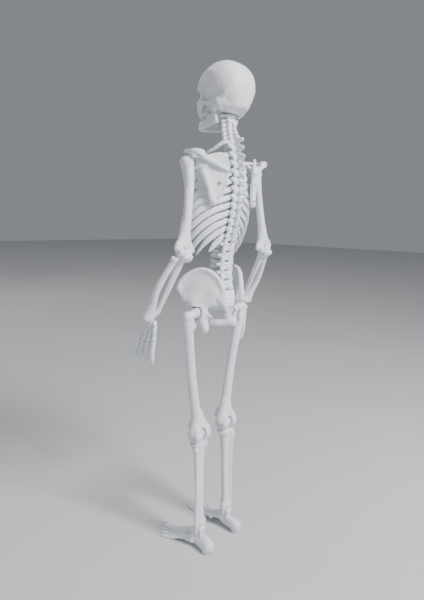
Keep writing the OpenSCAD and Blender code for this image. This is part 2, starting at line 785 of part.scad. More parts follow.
module femur() {
    notch_half = knee_tab_half + body_gap;
    neck_end = [39.5, 8, 233.5];
    shaft_foot = [20.4, 5.6, 127];
    color(bone_colour) difference() {
        union() {
            translate(hip) sphere(r = hip_ball_r, $fn = 48);
            rod(hip + [2, 0.2, 0], neck_end, 3.6, 4);
            translate(neck_end + [0, 0, 0.5]) sphere(r = 4.6, $fn = 36);
            turned(neck_end + [0, 0, 1], shaft_foot, [
                [0, 3.6], [0.02, 4.4], [0.06, 4.4], [0.14, 4], [0.3, 3.7], [0.6, 3.7], [0.85, 4.4],
                [0.95, 5.6], [1, 6]
            ]);
            bar(knee, [1, 0, 0], 10.6, knee_r);
            hull() {
                translate(shaft_foot + [0, 0, 4]) cylinder(h = 1, r = 5, $fn = 32);
                translate(knee + [-9.4, -6.4, 0]) cube([18.8, 9.6, 4]);
            }
            turned([31, 11.6, 222.6], [32, 9.8, 227], [[0, 1.6], [0.4, 2.2], [1, 2.6]]);
        }
        swivel_seat(hip, hip_ball_r);
        // Notch for the shin's tab, open below and behind so that the knee can bend
        bar(knee, [1, 0, 0], notch_half, knee_eye_r + 0.5);
        translate(knee + [-notch_half, -knee_eye_r - 0.5, -20]) cube([2 * notch_half, 40, 20]);
        translate(knee + [-notch_half, 0, -1]) cube([2 * notch_half, 40, 6.6]);
        bar(knee, [1, 0, 0], 12, knee_pin_r);
    }
}

module patella() {
    color(bone_colour)
        turned([19.6, -3.6, 124.4], [19.6, -0.2, 124.2], [[0, 2.4], [0.3, 3.8], [0.7, 4.2], [1, 3.6]]);
}

module knee_pin() {
    color(metal_colour) bar(knee, [1, 0, 0], 10.4, knee_pin_r);
}

module tibia() {
    top = knee + [0, -1.4, -knee_r - body_gap];
    foot = [20, 10.2, ankle_z + talus_r + body_gap + 2];
    mall_x = ankle[0] - talus_half - body_gap;
    color(bone_colour) difference() {
        union() {
            intersection() {
                turned(top + [0, 0, 1], foot, [
                    [0, 8], [0.05, 8.6], [0.09, 7.8], [0.16, 5], [0.3, 3.8], [0.6, 3.3], [0.85, 3.7],
                    [0.96, 4.8], [1, 5]
                ]);
                translate([-big, -big, 0]) cube([2 * big, 2 * big, top[2]]);
            }
            translate(foot + [0, 0, -2]) cylinder(h = 4, r = 5.2, $fn = 40);
            bar(knee, [1, 0, 0], knee_tab_half, knee_eye_r);
            translate([knee[0] - knee_tab_half, knee[1] - 2.6, top[2] - 3])
                cube([2 * knee_tab_half, 5.2, knee_r + 3]);
            turned([20.4, 1.4, 106], [20.2, 4, 96], [[0, 1.4], [0.3, 2.6], [1, 1.6]]);
            bar([mall_x - 1.2, ankle[1], ankle_z], [1, 0, 0], 1.2, 3.2);
            translate([mall_x - 2.4, ankle[1] - 3, ankle_z]) cube([2.4, 6, talus_r + 4]);
        }
        bar(knee, [1, 0, 0], 9, knee_pin_r + fit_gap);
        bar(ankle, [1, 0, 0], talus_r * 2, ankle_pin_r);
    }
}

module fibula() {
    mall_x = ankle[0] + talus_half + body_gap;
    color(bone_colour) difference() {
        union() {
            turned([28.6, 12.6, 106], [mall_x + 1.6, ankle[1] + 0.4, ankle_z + 3.4], [
                [0, 1.2], [0.03, 2.2], [0.08, 2.3], [0.16, 1.5], [0.5, 1.3], [0.85, 1.5], [1, 1.5]
            ]);
            bar([mall_x + 1.3, ankle[1], ankle_z], [1, 0, 0], 1.3, 3);
            translate([mall_x, ankle[1] - 2, ankle_z]) cube([2.6, 4.4, 6]);
        }
        bar(ankle, [1, 0, 0], talus_r * 2, ankle_pin_r);
    }
}

module ankle_pin() {
    color(metal_colour) bar(ankle, [1, 0, 0], 6.8, ankle_pin_r);
}

// ---- Foot ----

// Big toe first; each entry is [x at the instep, x at the ball, y at the ball, head radius]
toe_rays = [
    [15.4, 13.2, -22.4, 2.8], [18.2, 18, -23.6, 2.1], [20.8, 22, -22, 2], [23.4, 25.6, -19.4, 1.9],
    [26, 29, -16, 1.9]
];
toe_lengths = [[9.6, 7.6], [8.4, 5.4], [7.6, 4.8], [6.8, 4.4], [6, 4]];
instep_y = -3.4;
// Depth of the flat worn into each rounded underside
sole_cut = 0.2;

module tarsal_bones() {
    color(bone_colour) difference() {
        union() {
            bar(ankle, [1, 0, 0], talus_half, talus_r);
            translate([ankle[0] - talus_half, ankle[1] - 4, 8]) cube([2 * talus_half, 9, ankle_z - 8]);
            rod([20, 9, 15.4], [18.6, 1, 11.8], 3.8, 4.4);
            turned([21.2, 5, 8.5], [22.2, 27.6, 3.5], [
                [0, 2], [0.1, 3.6], [0.3, 4.1], [0.6, 4.2], [0.78, 4.9], [0.9, 4.4], [0.97, 3], [1, 1.6]
            ]);
            hull() {
                translate([15.6, -2.6, 8.6]) sphere(r = 3, $fn = 24);
                translate([26, -2.6, 6.4]) sphere(r = 2.8, $fn = 24);
                translate([17.4, 6, 9.4]) sphere(r = 3.4, $fn = 24);
                translate([25, 7, 6.4]) sphere(r = 3, $fn = 24);
            }
        }
        bar(ankle, [1, 0, 0], talus_r * 2, ankle_pin_r + fit_gap);
        translate([-big, -big, -big]) cube([2 * big, 2 * big, big]);
    }
}

// One toe bone that lies on the floor, running level along dir
module toe(p, dir, length, r1, rm, r2) {
    start = [p[0], p[1], r1 - sole_cut];
    turned(start, [p[0], p[1], r2 - sole_cut] + dir * length, nub(r1, rm, r2));
}

module foot_bones() {
    color(bone_colour) difference() {
        for (t = [0 : 4]) {
            ray = toe_rays[t];
            r = ray[3];
            instep = [ray[0], instep_y - 1.4, 8.4 - 0.6 * t];
            // A nub is widest 0.86 of the way along, and that is where the ball of the foot rests
            head = [ray[1], ray[2], (r - sole_cut - 0.14 * instep[2]) / 0.86];
            dir = unit([ray[1] - ray[0], ray[2] - instep_y, 0]);
            turned(instep, head, nub(2, r * 0.62, r));
            toe(head + dir * 0.6, dir, toe_lengths[t][0], r * 0.8, r * 0.6, r * 0.72);
            toe(head + dir * (1 + toe_lengths[t][0]), dir, toe_lengths[t][1], r * 0.7, r * 0.6, r * 0.62);
        }
        translate([-big, -big, -big]) cube([2 * big, 2 * big, big]);
    }
}

// ---- Screws ----

module screw(p, d, length, r, head_r) {
    at(p, d) {
        cylinder(h = length, r = r, $fn = 32);
        translate([0, 0, -0.9]) cylinder(h = 1, r = head_r, $fn = 32);
    }
}

module assembly_screws() {
    color(metal_colour) both_sides() {
        for (s = blade_screws) screw(on_blade(s[0], s[1], blade_half_t), -blade_normal, 8.6, 0.75, 1.5);
        for (z = pelvis_screws) screw([19.4, 19.5, z], [-1, 0, 0], 12, 0.85, 1.6);
    }
}

cranium();
mandible();
jaw_pins();
atlas();
axis();
cervical_vertebrae();
thoracic_vertebrae();
lumbar_vertebrae();
spinal_discs();
sacrum();
coccyx();
spine_rod();
true_ribs();  // true_ribs_left
right() true_ribs();  // true_ribs_right
false_ribs();  // false_ribs_left
right() false_ribs();  // false_ribs_right
sternum();
costal_cartilages();
clavicle();  // clavicle_left
right() clavicle();  // clavicle_right
scapula();  // scapula_left
right() scapula();  // scapula_right
shoulder_swivel();  // shoulder_swivel_left
right() shoulder_swivel();  // shoulder_swivel_right
humerus();  // humerus_left
right() humerus();  // humerus_right
elbow_pin();  // elbow_pin_left
right() elbow_pin();  // elbow_pin_right
ulna();  // ulna_left
right() ulna();  // ulna_right
radius();  // radius_left
right() radius();  // radius_right
carpal_bones();  // carpal_bones_left
right() carpal_bones();  // carpal_bones_right
metacarpals();  // metacarpals_left
right() metacarpals();  // metacarpals_right
finger_bones();  // finger_bones_left
right() finger_bones();  // finger_bones_right
hip_bone();  // hip_bone_left
right() hip_bone();  // hip_bone_right
pubic_symphysis();
hip_swivel();  // hip_swivel_left
right() hip_swivel();  // hip_swivel_right
femur();  // femur_left
right() femur();  // femur_right
patella();  // patella_left
right() patella();  // patella_right
knee_pin();  // knee_pin_left
right() knee_pin();  // knee_pin_right
tibia();  // tibia_left
right() tibia();  // tibia_right
fibula();  // fibula_left
right() fibula();  // fibula_right
tarsal_bones();  // tarsal_bones_left
right() tarsal_bones();  // tarsal_bones_right
foot_bones();  // foot_bones_left
right() foot_bones();  // foot_bones_right
ankle_pin();  // ankle_pin_left
right() ankle_pin();  // ankle_pin_right
assembly_screws();
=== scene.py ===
"""Desk-size jointed skeleton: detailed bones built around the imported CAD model.

Lengths are in millimetres until a mesh is made. +X is the figure's own left and its face looks along -Y.
Bones are fields of signed distance, made of rounded bars, balls and plates that blend into each other,
and the surface where the field is zero becomes the mesh. Long thin bones are swept bands.
"""
import json
import math

import bpy
import numpy as np
from mathutils import Matrix, Vector


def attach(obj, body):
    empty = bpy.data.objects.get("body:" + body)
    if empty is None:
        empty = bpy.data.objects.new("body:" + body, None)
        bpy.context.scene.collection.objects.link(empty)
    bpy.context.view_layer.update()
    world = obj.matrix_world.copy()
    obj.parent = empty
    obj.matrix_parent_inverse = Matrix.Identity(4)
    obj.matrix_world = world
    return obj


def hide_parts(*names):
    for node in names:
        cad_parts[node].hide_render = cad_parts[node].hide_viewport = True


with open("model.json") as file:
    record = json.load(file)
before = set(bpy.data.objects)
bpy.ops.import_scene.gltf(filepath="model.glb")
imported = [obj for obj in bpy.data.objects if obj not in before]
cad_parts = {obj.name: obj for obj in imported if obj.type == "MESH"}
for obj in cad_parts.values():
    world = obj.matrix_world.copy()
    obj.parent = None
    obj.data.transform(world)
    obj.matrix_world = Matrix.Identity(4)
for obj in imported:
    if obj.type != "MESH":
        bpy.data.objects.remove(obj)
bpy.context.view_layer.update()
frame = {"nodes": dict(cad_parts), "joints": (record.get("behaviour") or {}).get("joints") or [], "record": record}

MM = 0.001
FAR = 50.0
GAP = 0.3  # clearance between bodies that move on each other
SWIVEL_BORE = 1.95
SWIVEL_REACH = 19.0


def vec(*numbers):
    return np.array(numbers, float)


def unit(v):
    v = np.asarray(v, float)
    return v / np.linalg.norm(v)


def mix(a, b, t):
    return np.asarray(a, float) * (1 - t) + np.asarray(b, float) * t


# ---- The frame: bodies, joint centres and driving dimensions ----

BODY_OF = {node: body for body, nodes in frame["record"]["behaviour"]["bodies"].items() for node in nodes}
JOINTS = {joint["name"]: joint for joint in frame["joints"]}


def joint_at(name):
    """The joint's centre in the frame, in millimetres."""
    return vec(*JOINTS[name]["pos_m"]) / MM


SHOULDER = joint_at("left_shoulder_swing")
ELBOW = joint_at("left_elbow_bend")
WRIST = joint_at("left_wrist_bend")
HIP = joint_at("left_hip_swing")
KNEE = joint_at("left_knee_bend")
ANKLE = joint_at("left_ankle_bend")
JAW = joint_at("jaw_open")
ELBOW_AXIS = unit(JOINTS["left_elbow_bend"]["axis"])
FINGERTIP = vec(64, -18, 190)
ARM = unit(ELBOW - SHOULDER)
FOREARM = unit(WRIST - ELBOW)
HAND = unit(FINGERTIP - WRIST)

SPINE_BOTTOM = 257.0
LUMBAR_TOP = 304.0
THORACIC_TOP = 384.0
NECK_TOP = 411.0
SKULL_BASE = NECK_TOP + GAP
DISC = 1.4
LUMBAR_STEP = (LUMBAR_TOP - SPINE_BOTTOM) / 5
THORACIC_STEP = (THORACIC_TOP - LUMBAR_TOP) / 12
CERVICAL_STEP = (NECK_TOP - THORACIC_TOP) / 7
SPINE_Z = [257, 265, 275, 290, 304, 320, 340, 360, 375, 384, 390, 396, 430]
SPINE_Y = [11, 9.5, 9, 10.5, 13.5, 18, 21.5, 21.5, 19, 16.8, 14.4, 12.5, 12.5]
BEND_EASE = 9.0

SHOULDER_BALL = 5.8
HIP_BALL = 6.0
KNEE_R = 7.6
TALUS_R = 5.0
TALUS_HALF = 4.2


def spine_y(z):
    """The spine's curve seen from the side, with its bends eased over a few millimetres."""
    shares = [(-1, 1), (-0.5, 1), (0, 2), (0.5, 1), (1, 1)]
    return sum(share * np.interp(z + BEND_EASE * k, SPINE_Z, SPINE_Y) for k, share in shares) / 6


def spine_point(z):
    return vec(0, spine_y(z), z)


# ---- Shapes: each is (distance function, lowest corner, highest corner) ----

def shape(distance, points, reach):
    """A shape whose box holds the points with reach around them."""
    points = np.asarray(points, float).reshape(-1, 3)
    return distance, points.min(0) - reach, points.max(0) + reach


def ball(centre, r):
    centre = vec(*centre)
    return shape(lambda p: np.linalg.norm(p - centre, axis=-1) - r, [centre], r)


def egg(centre, radii, turn=None):
    """Ellipsoid; the rows of turn are its own axes."""
    centre, radii = vec(*centre), vec(*radii)
    axes = np.eye(3) if turn is None else np.array(turn, float)

    def distance(p):
        q = (p - centre) @ axes.T
        k0 = np.linalg.norm(q / radii, axis=-1)
        k1 = np.linalg.norm(q / radii ** 2, axis=-1)
        return k0 * (k0 - 1) / np.maximum(k1, 1e-6)

    return shape(distance, [centre], radii.max())


def bar(a, b, ra, rb=None, flat=None, thin=1.0):
    """Round-ended bar from a to b; with flat it is thinner along that direction by the factor thin."""
    a, b = vec(*a), vec(*b)
    rb = ra if rb is None else rb
    span = b - a
    squared = max(float(span @ span), 1e-9)
    across = None if flat is None else unit(flat)

    def distance(p):
        t = np.clip((p - a) @ span / squared, 0, 1)
        off = p - a - t[..., None] * span
        r = ra + (rb - ra) * t
        if across is None:
            return np.linalg.norm(off, axis=-1) - r
        along = off @ across
        rest = np.sum(off * off, axis=-1) - along ** 2
        return (np.sqrt(np.maximum(rest, 0) + (along / thin) ** 2) - r) * (thin ** 0.5)

    return shape(distance, [a, b], max(ra, rb))


def nearest_of(items):
    """One shape out of several, without fillets between them."""
    distances = [item[0] for item in items]
    low, high = np.min([item[1] for item in items], 0), np.max([item[2] for item in items], 0)

    def distance(p):
        least = distances[0](p)
        for other in distances[1:]:
            least = np.minimum(least, other(p))
        return least

    return distance, low, high


def chain(points, radii, flat=None, thin=1.0):
    """Tube through the points, its radius changing evenly between them."""
    radii = np.broadcast_to(np.asarray(radii, float), len(points))
    pairs = zip(points[:-1], points[1:], radii[:-1], radii[1:])
    return [nearest_of([bar(a, b, ra, rb, flat, thin) for a, b, ra, rb in pairs])]


def web(lower, upper, r_lower, r_upper, count=30):
    """Wall between two lines of points, made of upright bars close together."""
    lower, upper = smooth_path(lower, count), smooth_path(upper, count)
    return [nearest_of([bar(a, b, r_lower, r_upper) for a, b in zip(lower, upper)])]


def lathe(a, b, profile, bulge=None):
    """Solid of revolution from a to b; profile holds (fraction of the length, radius).
    bulge is (direction, lobes, amount) for a shaft that isn't round."""
    a, b = vec(*a), vec(*b)
    length = np.linalg.norm(b - a)
    z = (b - a) / length
    places, radii = np.array(profile, float).T
    if bulge is not None:
        u = unit(vec(*bulge[0]) - z * (vec(*bulge[0]) @ z))
        w = np.cross(z, u)

    def distance(p):
        q = p - a
        t = q @ z
        rho = np.sqrt(np.maximum(np.sum(q * q, axis=-1) - t * t, 0))
        r = np.interp(t / length, places, radii)
        if bulge is not None:
            angle = np.arctan2(q @ w, q @ u)
            r = r * (1 + bulge[2] * np.cos(bulge[1] * angle))
        return np.maximum(rho - r, np.maximum(-t, t - length)) * 0.9

    return shape(distance, [a, b], radii.max() * 1.3)


def outline_distance(x, y, outline):
    """Signed distance to a closed outline in the plane."""
    outline = np.asarray(outline, float)
    nearest = np.full(x.shape, 1e9)
    inside = np.zeros(x.shape, bool)
    for (ax, ay), (bx, by) in zip(outline, np.roll(outline, -1, 0)):
        ex, ey = bx - ax, by - ay
        t = np.clip(((x - ax) * ex + (y - ay) * ey) / (ex * ex + ey * ey), 0, 1)
        nearest = np.minimum(nearest, (x - ax - t * ex) ** 2 + (y - ay - t * ey) ** 2)
        if ay != by:
            crosses = (ay > y) != (by > y)
            inside ^= crosses & (x < ax + (y - ay) / ey * ex)
    return np.where(inside, -1, 1) * np.sqrt(nearest)


def plate(origin, u, w, outline, half, rim=0.0, rim_width=2.5, bend=None):
    """Plate with rounded edges whose outline lies in the plane of u and w through origin. Its half
    thickness grows by rim within rim_width of the edge, and bend(s, z) moves it off its plane."""
    origin, u, w = vec(*origin), unit(u), unit(w)
    normal = np.cross(u, w)
    outline = round_outline(outline)

    def distance(p):
        q = p - origin
        s, z, n = q @ u, q @ w, q @ normal
        edge = outline_distance(s, z, outline)
        if bend is not None:
            n = n - bend(s, z)
        thick = half + rim * np.clip(1 + edge / rim_width, 0, 1) ** 2
        d = np.stack([edge + half, np.abs(n) - thick + half])
        return np.linalg.norm(np.maximum(d, 0), axis=0) + np.minimum(d.max(0), 0) - half

    corners = [origin + u * s + w * z for s, z in outline]
    return shape(distance, corners, half + rim + (4 if bend else 0))


def round_outline(outline):
    """Corner cutting, so that a few points give a smooth outline."""
    points = np.asarray(outline, float)
    for _ in range(2):
        following = np.roll(points, -1, 0)
        points = np.stack([mix(points, following, 0.22), mix(points, following, 0.78)], 1).reshape(-1, 2)
    return points


def block(lo, hi):
    """Box between two corners."""
    lo, hi = vec(*lo), vec(*hi)

    def distance(p):
        d = np.maximum(lo - p, p - hi)
        return np.linalg.norm(np.maximum(d, 0), axis=-1) + np.minimum(d.max(-1), 0)

    return distance, lo, hi


def disc(centre, axis, half, r):
    """Flat-ended cylinder."""
    centre, axis = vec(*centre), unit(axis)

    def distance(p):
        q = p - centre
        t = q @ axis
        rho = np.sqrt(np.maximum(np.sum(q * q, axis=-1) - t * t, 0))
        return np.maximum(rho - r, np.abs(t) - half)

    return shape(distance, [centre - axis * half, centre + axis * half], r)


def mirrored(item):
    """The shape on the other side of the middle plane."""
    distance, lo, hi = item
    flip = vec(-1, 1, 1)
    return lambda p: distance(p * flip), vec(-hi[0], lo[1], lo[2]), vec(-lo[0], hi[1], hi[2])


def smooth_path(points, count):
    """Catmull-Rom curve through the points."""
    p = np.asarray(points, float)
    p = np.vstack([2 * p[0] - p[1], p, 2 * p[-1] - p[-2]])
    t = np.linspace(0, len(points) - 1 - 1e-9, count)
    i = t.astype(int)
    f = (t - i)[:, None]
    a, b, c, d = p[i], p[i + 1], p[i + 2], p[i + 3]
    bend, twist = 2 * a - 5 * b + 4 * c - d, 3 * b - a - 3 * c + d
    return 0.5 * (2 * b + (c - a) * f + bend * f ** 2 + twist * f ** 3)


# ---- Fields and their surfaces ----

CELL_CORNERS = [(a, b, c) for a in (0, 1) for b in (0, 1) for c in (0, 1)]


def as_list(items):
    return items if isinstance(items, list) else [items]


class Field:
    """Signed distance on a grid of points step apart, negative inside."""

    def __init__(self, lo, hi, step):
        self.lo, self.step = vec(*lo), step
        count = np.ceil((vec(*hi) - self.lo) / step).astype(int) + 1
        self.value = np.full(count, FAR, np.float32)
        self.resized = None

    def _window(self, lo, hi, pad):
        """The part of the grid within pad of a box, as slices, and its points."""
        first = np.maximum(np.floor((lo - pad - self.lo) / self.step).astype(int), 0)
        last = np.minimum(np.ceil((hi + pad - self.lo) / self.step).astype(int) + 1, self.value.shape)
        if np.any(last <= first):
            return None, None
        axes = [self.lo[i] + self.step * np.arange(first[i], last[i]) for i in range(3)]
        where = tuple(slice(first[i], last[i]) for i in range(3))
        return where, np.stack(np.meshgrid(*axes, indexing="ij"), -1).astype(np.float32)

    def _merge(self, items, k, sign):
        """Smooth union (sign 1) or subtraction (sign -1). While resized is set, as (centre, factors), the
        shapes are drawn smaller about the centre."""
        centre, factors = self.resized or (vec(0, 0, 0), vec(1, 1, 1))
        for distance, lo, hi in as_list(items):
            lo, hi = centre + (lo - centre) * factors, centre + (hi - centre) * factors
            where, p = self._window(lo, hi, k + 2 * self.step)
            if where is not None:
                new = (distance(centre + (p - centre) / factors) * factors.min()).astype(np.float32)
                old = self.value[where] * sign
                h = np.maximum(k - np.abs(old - new), 0) / k
                self.value[where] = (np.minimum(old, new) - h * h * k / 4) * sign

    def add(self, items, k=1.0):
        """Joins shapes on, with fillets of about k."""
        self._merge(items, k, 1)

    def cut(self, items, k=0.3):
        """Takes shapes away, with rounded edges of about k."""
        self._merge(items, k, -1)

    def both(self, items, k=1.0, cut=False):
        """The same on the left and, mirrored, on the right."""
        items = as_list(items)
        self._merge(items + [mirrored(item) for item in items], k, -1 if cut else 1)

    def sample(self, points):
        """Value and gradient at points, in cells."""
        i = np.clip(np.floor(points).astype(int), 0, np.array(self.value.shape) - 2)
        above = points - i
        value, slope = 0, 0
        for corner in CELL_CORNERS:
            at_corner = self.value[tuple((i + corner).T)]
            x, y, z = np.where(corner, above, 1 - above).T
            value = value + at_corner * x * y * z
            rises = np.stack([y * z, x * z, x * y], -1) * (2 * np.array(corner) - 1)
            slope = slope + at_corner[:, None] * rises
        return value, slope

    def surface(self):
        """Quads on the zero level by surface nets: one vertex in each cell that the surface crosses."""
        v = self.value
        # Closed even where a shape reaches the border of the grid
        for side in (0, -1):
            for layer in (v[side], v[:, side], v[:, :, side]):
                np.maximum(layer, self.step, out=layer)
        inside = v < 0
        size = np.array(v.shape) - 1
        count = np.zeros(size, np.int8)
        for a, b, c in CELL_CORNERS:
            count += inside[a:a + size[0], b:b + size[1], c:c + size[2]]
        cells = np.argwhere((count > 0) & (count < 8))
        number = np.full(size, -1, np.int32)
        number[tuple(cells.T)] = np.arange(len(cells))
        at_corner = {q: v[tuple((cells + q).T)] for q in CELL_CORNERS}
        total, hits = np.zeros((len(cells), 3)), np.zeros(len(cells))
        for q in CELL_CORNERS:
            for axis in range(3):
                if q[axis]:
                    continue
                r = tuple(1 if i == axis else q[i] for i in range(3))
                a, b = at_corner[q], at_corner[r]
                crossed = (a < 0) != (b < 0)
                t = np.where(crossed, a / np.where(crossed, a - b, 1), 0)
                point = np.array(q, float) + t[:, None] * np.eye(3)[axis]
                total += point * crossed[:, None]
                hits += crossed
        points = cells + total / hits[:, None]
        quads = []
        for axis in range(3):
            i, j = (axis + 1) % 3, (axis + 2) % 3
            here = [slice(1, -1)] * 3
            there = [slice(1, -1)] * 3
            here[axis], there[axis] = slice(0, -1), slice(1, None)
            edge = np.argwhere(inside[tuple(here)] != inside[tuple(there)])
            edge += [0 if n == axis else 1 for n in range(3)]
            starts_inside = inside[tuple(edge.T)]
            ring = []
            for di, dj in ((-1, -1), (0, -1), (0, 0), (-1, 0)):
                cell = edge.copy()
                cell[:, i] += di
                cell[:, j] += dj
                ring.append(number[tuple(cell.T)])
            ring = np.stack(ring, -1)
            ring[~starts_inside] = ring[~starts_inside][:, ::-1]
            quads.append(ring)
        quads = np.concatenate(quads)
        points = self._settle(self._settle(relaxed(points, quads, 0.6)))
        return self.lo + points * self.step, quads

    def _settle(self, points):
        """Moves points onto the zero level."""
        for _ in range(2):
            value, slope = self.sample(points)
            squared = np.maximum(np.sum(slope * slope, -1), 1e-3)
            move = -slope * (value / squared)[:, None]
            reach = np.maximum(np.linalg.norm(move, axis=-1), 1e-9)
            points = points + move * np.minimum(1, 0.4 / reach)[:, None]
        return points


def relaxed(points, quads, share):
    """Each vertex moved by a share towards the mean of its neighbours."""
    total, hits = np.zeros_like(points), np.zeros(len(points))
    for a, b in ((0, 1), (1, 2), (2, 3), (3, 0)):
        for p, q in ((quads[:, a], quads[:, b]), (quads[:, b], quads[:, a])):
            for axis in range(3):
                total[:, axis] += np.bincount(p, points[q, axis], len(points))
            hits += np.bincount(p, minlength=len(points))
    return points * (1 - share) + share * total / np.maximum(hits, 1)[:, None]


# ---- Swept bands ----

def band(path, size, up, power=2.0, sides=14, hook=0.0):
    """Closed bar along a path. size and up give half sizes (upright, across) and an upright direction
    for each point; a power above 2 makes the section squarer, and hook turns its lower edge inwards."""
    path, size, up = np.asarray(path, float), np.asarray(size, float), np.asarray(up, float)
    tangent = np.gradient(path, axis=0)
    tangent /= np.linalg.norm(tangent, axis=1)[:, None]
    up = up - tangent * np.sum(up * tangent, 1)[:, None]
    up /= np.linalg.norm(up, axis=1)[:, None]
    out = np.cross(tangent, up)
    turn = np.arange(sides) * 2 * math.pi / sides
    c, s = np.cos(turn), np.sin(turn)
    c = np.sign(c) * np.abs(c) ** (2 / power)
    s = np.sign(s) * np.abs(s) ** (2 / power)
    first, first_tip = cap_rings(path[0], -tangent[0], size[0])
    last, last_tip = cap_rings(path[-1], tangent[-1], size[-1])
    rings = [(p, f * size[0], up[0], out[0]) for p, f in first[::-1]]
    rings += [(path[i], size[i], up[i], out[i]) for i in range(len(path))]
    rings += [(p, f * size[-1], up[-1], out[-1]) for p, f in last]
    points = []
    for centre, half, u, o in rings:
        ring = centre + np.outer(c, u) * half[0] + np.outer(s, o) * half[1]
        points.append(ring - np.outer(np.clip(-c, 0, 1) ** 2 * hook * half[1], o))
    count = len(rings)
    points = np.vstack(points + [first_tip, last_tip])
    quads = []
    for i in range(count - 1):
        for j in range(sides):
            a, b = i * sides + j, i * sides + (j + 1) % sides
            quads.append((a, b, b + sides, a + sides))
    caps = []
    for j in range(sides):
        k = (j + 1) % sides
        caps.append((count * sides, k, j))
        caps.append((count * sides + 1, (count - 1) * sides + j, (count - 1) * sides + k))
    return points, quads, caps


def cap_rings(end, direction, size):
    """Two shrinking rings and a tip that round off an end."""
    bulge = min(size) * 0.9
    rings = [(end + direction * bulge * math.sin(t), math.cos(t)) for t in (0.5, 1.05)]
    return rings, end + direction * bulge


# ---- Skull ----

NECK_Y = 12.5
SKULL_TOP = 453.0
ROD_BORE = 1.9


def dental_arch(half_width, depth, front, angle):
    """Place on the row of teeth; angle 0 is between the two front teeth."""
    return vec(half_width * math.sin(angle), front + depth * (1 - math.cos(angle)), 0)


def teeth(half_width, depth, front, z_root, z_tip, r):
    """Seven teeth of the left side, wider towards the back."""
    row = []
    for i, degrees in enumerate((6, 17, 28, 39.5, 52, 66, 80)):
        place = dental_arch(half_width, depth, front, math.radians(degrees))
        size = r * (1 + 0.05 * i)
        root, tip = place + vec(0, 0, z_root), place * 0.98 + vec(0, 0, z_tip)
        row.append(bar(root, tip, size, size * 0.86))
    return row


